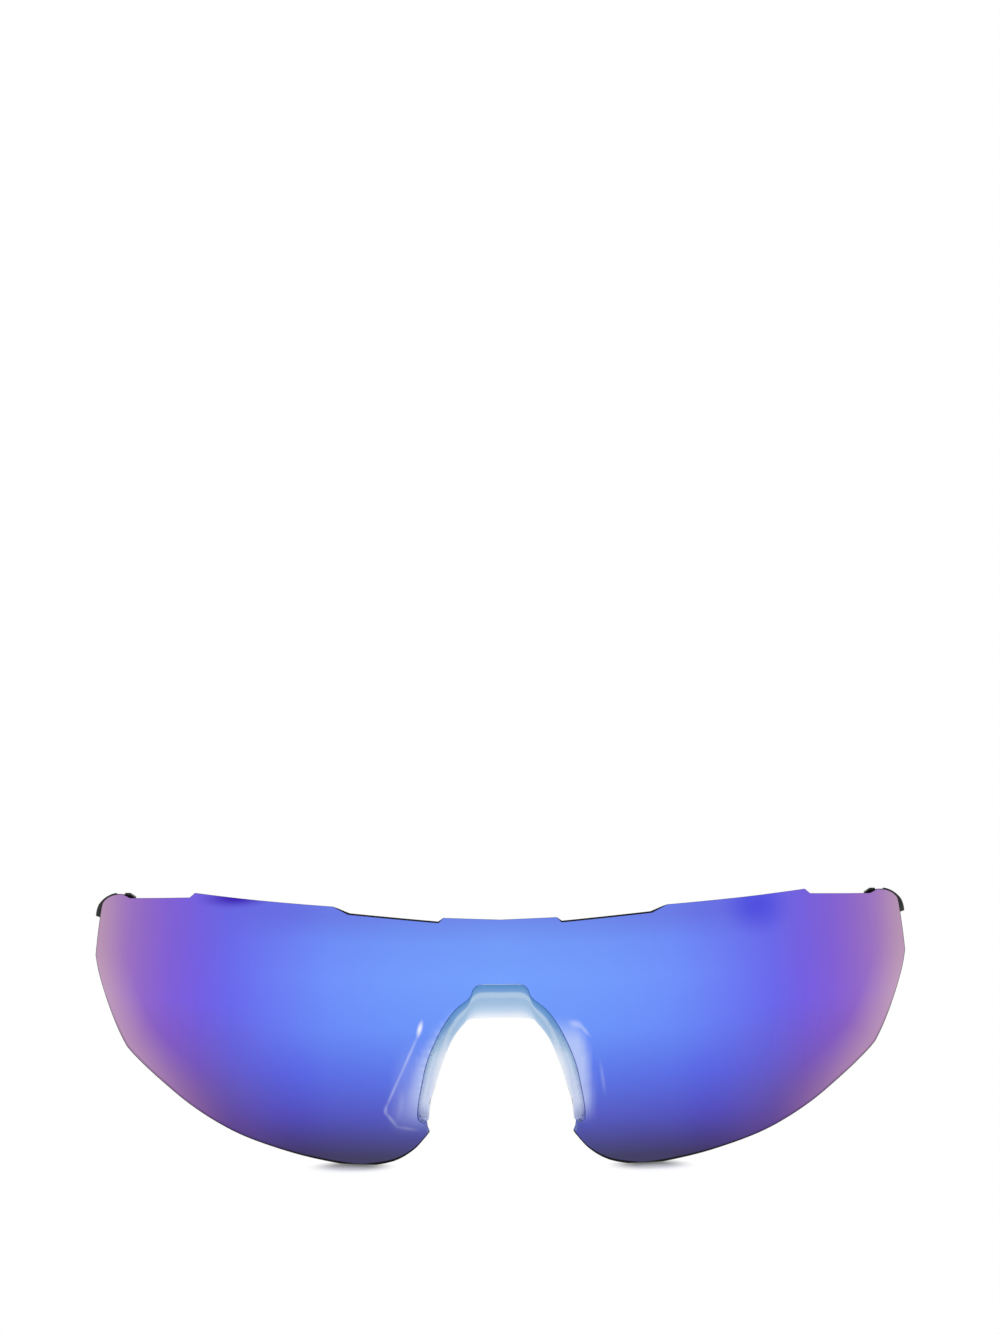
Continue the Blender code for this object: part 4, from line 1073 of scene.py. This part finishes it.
def temple_piece():
    """The right temple's arm, with eased ends, up to the mouth of its grip."""
    shoulder = MOUTH - FIT_GAP
    rings = []
    ends = (0.0, ARM_EASE * ARM_EASE_SHARE, ARM_EASE)
    places = [*ends, *stations(ARM_START, shoulder - ARM_START, ARM_STEP)]
    places += [shoulder - end for end in reversed(ends)]
    for along in places:
        share = along / shoulder
        thickness = TEMPLE_THICKNESS + (ARM_THICKNESS - TEMPLE_THICKNESS) * share
        height = TEMPLE_HEIGHT + (ARM_HEIGHT - TEMPLE_HEIGHT) * share
        gap = min(along, shoulder - along, ARM_EASE)
        pull = ARM_EASE - sqrt(max(ARM_EASE ** 2 - (ARM_EASE - gap) ** 2, 0.0))
        radius = ARM_CORNER_SHARE * thickness
        rings.append(section(along, thickness - 2 * pull, height - 2 * pull, radius, ARM_CORNER_STEPS))
    return lofted("temple_arm", rings)


# The grip's sections at its mouth and beyond it, its lip and its corners
GRIP_MOUTH_PLACES = (0.0, 0.1 * MM, 0.3 * MM, 0.6 * MM)
GRIP_START = 1.2 * MM
GRIP_STEP = 0.35 * MM
GRIP_LIP = 0.25 * MM
GRIP_CORNER_SHARE = 0.45
GRIP_CORNER_STEPS = 9
# Its ribs: where they start and end, how they fade there, how far apart and how deep they are
RIB_START = 17.0 * MM
RIB_END = 49.0 * MM
RIB_FADE = 2.0 * MM
RIB_PITCH = 2.1 * MM
RIB_DEPTH = 0.16 * MM
# Its round end: the steps along it, how full it is, and the size that it ends with
TIP_STEP_SHARE = 0.1
TIP_POWER = 2.2
TIP_END_SHARE = 0.38


def grip_piece():
    """The right temple's rubber grip, with a soft mouth, a ribbed length and a round tip."""
    rings = []
    places = [*GRIP_MOUTH_PLACES, *stations(GRIP_START, GRIP_LENGTH - TIP_DOME, GRIP_STEP)]
    for from_mouth in places:
        swell = sin(pi / 2 * min(from_mouth / GRIP_SWELL, 1.0))
        thickness = GRIP_MOUTH_THICKNESS + (GRIP_THICKNESS - GRIP_MOUTH_THICKNESS) * swell
        height = GRIP_MOUTH_HEIGHT + (GRIP_HEIGHT - GRIP_MOUTH_HEIGHT) * swell
        lip = GRIP_LIP * (1 - sqrt(1 - (1 - min(from_mouth / GRIP_MOUTH_PLACES[-1], 1.0)) ** 2))
        ribbed = held(min(from_mouth - RIB_START, RIB_END - from_mouth) / RIB_FADE)
        wave = cos(2 * pi * (from_mouth - RIB_START) / RIB_PITCH)
        groove = RIB_DEPTH * ribbed * ((1 - wave) / 2) ** 2
        rings.append(section(
            MOUTH + from_mouth, thickness - 2 * (lip + groove), height - 2 * lip - groove,
            GRIP_CORNER_SHARE * thickness, GRIP_CORNER_STEPS,
        ))
    for share in stations(0.0, 1.0, TIP_STEP_SHARE)[1:]:
        size = TIP_END_SHARE + sqrt(1 - share ** TIP_POWER) * (1 - TIP_END_SHARE)
        thickness = size * GRIP_THICKNESS
        rings.append(section(
            TOTAL - TIP_DOME + share * TIP_DOME, thickness, size * GRIP_HEIGHT,
            GRIP_CORNER_SHARE * thickness, GRIP_CORNER_STEPS,
        ))
    obj = lofted("temple_grip_sleeve", rings, GRIP_SHARP_ANGLE)
    rest_flat(obj.data)
    return obj


# Endpieces, hinges and screws

# Width and steps of the rounding of their edges
ENDPIECE_EASE = (0.1 * MM, 3)
STEEL_EASE = (0.07 * MM, 2)
# Reach within which points are one, and angles below which faces are one and above which edges are rounded
MERGE_REACH = 0.0005 * MM
FLAT_ANGLE = 1.5
EASED_ANGLE = 32.0
# Steel pieces of one side: the node that each stands for, its name and its body
STEEL_PIECES = (
    ("hinge_bracket", "hinge_front_leaf", "front"),
    ("hinge_leaf", "hinge_temple_leaf", "temple_{}"),
    ("hinge_screw", "hinge_pin", "front"),
    *((f"bracket_screw_{n}", f"front_leaf_screw_{n}", "front") for n in (1, 2)),
    *((f"leaf_screw_{n}", f"temple_leaf_screw_{n}", "temple_{}") for n in (1, 2)),
)


def eased_copy(node, name, width, segments):
    """A finer copy of a node's solid, whose edges are rounded."""
    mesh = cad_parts[node].data.copy()
    work = bmesh.new()
    work.from_mesh(mesh)
    bmesh.ops.remove_doubles(work, verts=work.verts, dist=MERGE_REACH)
    bmesh.ops.dissolve_limit(
        work, angle_limit=radians(FLAT_ANGLE), verts=work.verts, edges=work.edges,
        use_dissolve_boundaries=False,
    )
    for face in work.faces:
        face.smooth = True
    work.to_mesh(mesh)
    work.free()
    obj = placed(name, mesh)
    bevel = obj.modifiers.new("eased", "BEVEL")
    bevel.width = width
    bevel.segments = segments
    bevel.limit_method = "ANGLE"
    bevel.angle_limit = radians(EASED_ANGLE)
    bevel.harden_normals = True
    return obj


def side_pieces(black, rubber, steel):
    """Endpieces, hinges, screws, temples and grips of both sides."""
    for side, _ in SIDES:
        endpiece = eased_copy(f"endpiece_{side}", f"endpiece_shell_{side}", *ENDPIECE_EASE)
        settle(endpiece, "front", f"endpiece_{side}", "black_nylon", black)
        for node, name, body in STEEL_PIECES:
            piece = eased_copy(f"{node}_{side}", f"{name}_{side}", *STEEL_EASE)
            settle(piece, body.format(side), f"{node}_{side}", "hinge_steel", steel)
    settle_pair(temple_piece(), "temple_arm", "temple", "black_nylon", "temple_{side}", black)
    settle_pair(grip_piece(), "temple_grip_sleeve", "temple_grip", "grip_rubber", "temple_{side}", rubber)


# Stage, light and camera

FLOOR_SIZE = 6.0
FLOOR_ROUGHNESS = 0.9
WORLD_LIGHT = 0.7
# The shadow that is kept: where the lens stands, how far ahead of it and how wide, and how it fades
STAND_SHARE = (0.362, 0.0)
SHADOW_AHEAD = 5.0 * MM
SHADOW_SPREAD = (7.2 * MM, 10.5 * MM)
SHADOW_FADE = (0.35, 1.15)
SHADOW_REACH = 14.0 * MM
SHADOW_SHADES = ((0.45, (0.2, 0.2, 0.2, 1.0)), (0.95, (1.0, 1.0, 1.0, 1.0)))


def far_from_stand(s):
    """Factor that is 0 on the floor where the lens stands, and 1 away from those two places."""
    stand = face_place(STAND_SHARE)
    stand = lens_point(stand.x, stand.y)
    x, y, _ = s.split(s.coordinates())
    squares = 0.0
    for place, middle, reach in zip(
        (s.math("ABSOLUTE", x), y), (stand.x, stand.y - SHADOW_AHEAD), SHADOW_SPREAD
    ):
        part = s.math("DIVIDE", s.math("SUBTRACT", place, middle), reach)
        squares = s.math("ADD", s.math("MULTIPLY", part, part), squares)
    return s.spread(s.math("SQRT", squares), *SHADOW_FADE)


def floor_material():
    """White, with the shadow kept near where the lens stands, and plain for the camera elsewhere."""
    s = Shader("floor_white")
    near = s.node("AmbientOcclusion", {"Distance": SHADOW_REACH})
    s.set(
        Base_Color=s.ramp(near.outputs["AO"], SHADOW_SHADES), Roughness=FLOOR_ROUGHNESS,
        Specular_IOR_Level=0.0,
    )
    path = s.node("LightPath").outputs
    indirect = s.math("MAXIMUM", path["Is Glossy Ray"], path["Is Transmission Ray"])
    seen = s.math("MULTIPLY", far_from_stand(s), path["Is Camera Ray"])
    white = s.node("Emission").outputs[0]
    both = s.node("MixShader", {0: s.math("MAXIMUM", seen, indirect), 1: s.surface.outputs[0], 2: white})
    s.put(s.tree.nodes["Material Output"].inputs["Surface"], both.outputs[0])
    return s.owner


def stage():
    """The floor, and a world that is white for what shows it: camera, glossy and clear rays."""
    bpy.ops.mesh.primitive_plane_add(size=FLOOR_SIZE, location=(0.0, 0.0, 0.0))
    ground = bpy.context.object
    ground.name = "floor"
    ground.data.materials.append(floor_material())
    s = Shader("studio", bpy.data.worlds, "Background")
    path = s.node("LightPath").outputs
    seen = path["Is Camera Ray"]
    for name in ("Is Glossy Ray", "Is Transmission Ray"):
        seen = s.math("MAXIMUM", seen, path[name])
    s.set(Color=(1.0, 1.0, 1.0, 1.0), Strength=s.spread(seen, 0.0, 1.0, WORLD_LIGHT, 1.0, "LINEAR"))
    bpy.context.scene.world = s.owner


# Square lamps: place, target, size and power
LAMPS = {
    "key": ((-0.25, -0.5, 0.75), (0.0, -0.02, 0.02), 0.5, 3.2),
    "fill": ((0.5, 0.35, 0.6), (0.0, 0.0, 0.02), 0.6, 2.2),
}


def lights():
    """A large lamp over the front and a softer one from behind, neither of them seen in the gloss."""
    for name, (place, target, size, power) in LAMPS.items():
        lamp = bpy.data.lights.new(name, "AREA")
        lamp.energy = power
        lamp.size = size
        obj = placed(name, lamp)
        obj.location = place
        obj.rotation_euler = (Vector(target) - Vector(place)).to_track_quat("-Z", "Y").to_euler()
        obj.visible_glossy = False


CAMERA_PLACE = (0.0003, -0.881, 0.0876)
CAMERA_TURN = (radians(90.0), radians(0.4), 0.0)
CAMERA_LENS = 123.5
CAMERA_NEAR = 0.01


def camera():
    """The photograph's level view, from in front."""
    data = bpy.data.cameras.new("camera")
    data.lens = CAMERA_LENS
    data.clip_start = CAMERA_NEAR
    obj = placed("camera", data)
    obj.location = CAMERA_PLACE
    obj.rotation_euler = CAMERA_TURN
    bpy.context.scene.camera = obj
    bpy.context.scene.view_settings.view_transform = "Standard"


camera()
stage()
lights()
settle(
    lens_piece(), "front", "shield_lens", "mirror_lens", mirror_material(),
    lens_edge_material("lens_cut_edge", CUT_EDGE_SHADE), smoke_material(),
    lens_edge_material("lens_nose_edge", NOSE_EDGE_SHADE),
    lens_edge_material("lens_ramp_edge", RAMP_EDGE_SHADE, 0.0),
)
settle(clip_piece(), "front", "nose_clip", "clear_clip", clip_material())
settle_pair(pad_piece(), "nose_pad_soft", "nose_pad", "clear_pad", "front", silicone_material())
side_pieces(
    moulded_material("black_moulding", *NYLON), moulded_material("black_rubber", *RUBBER), steel_material()
)
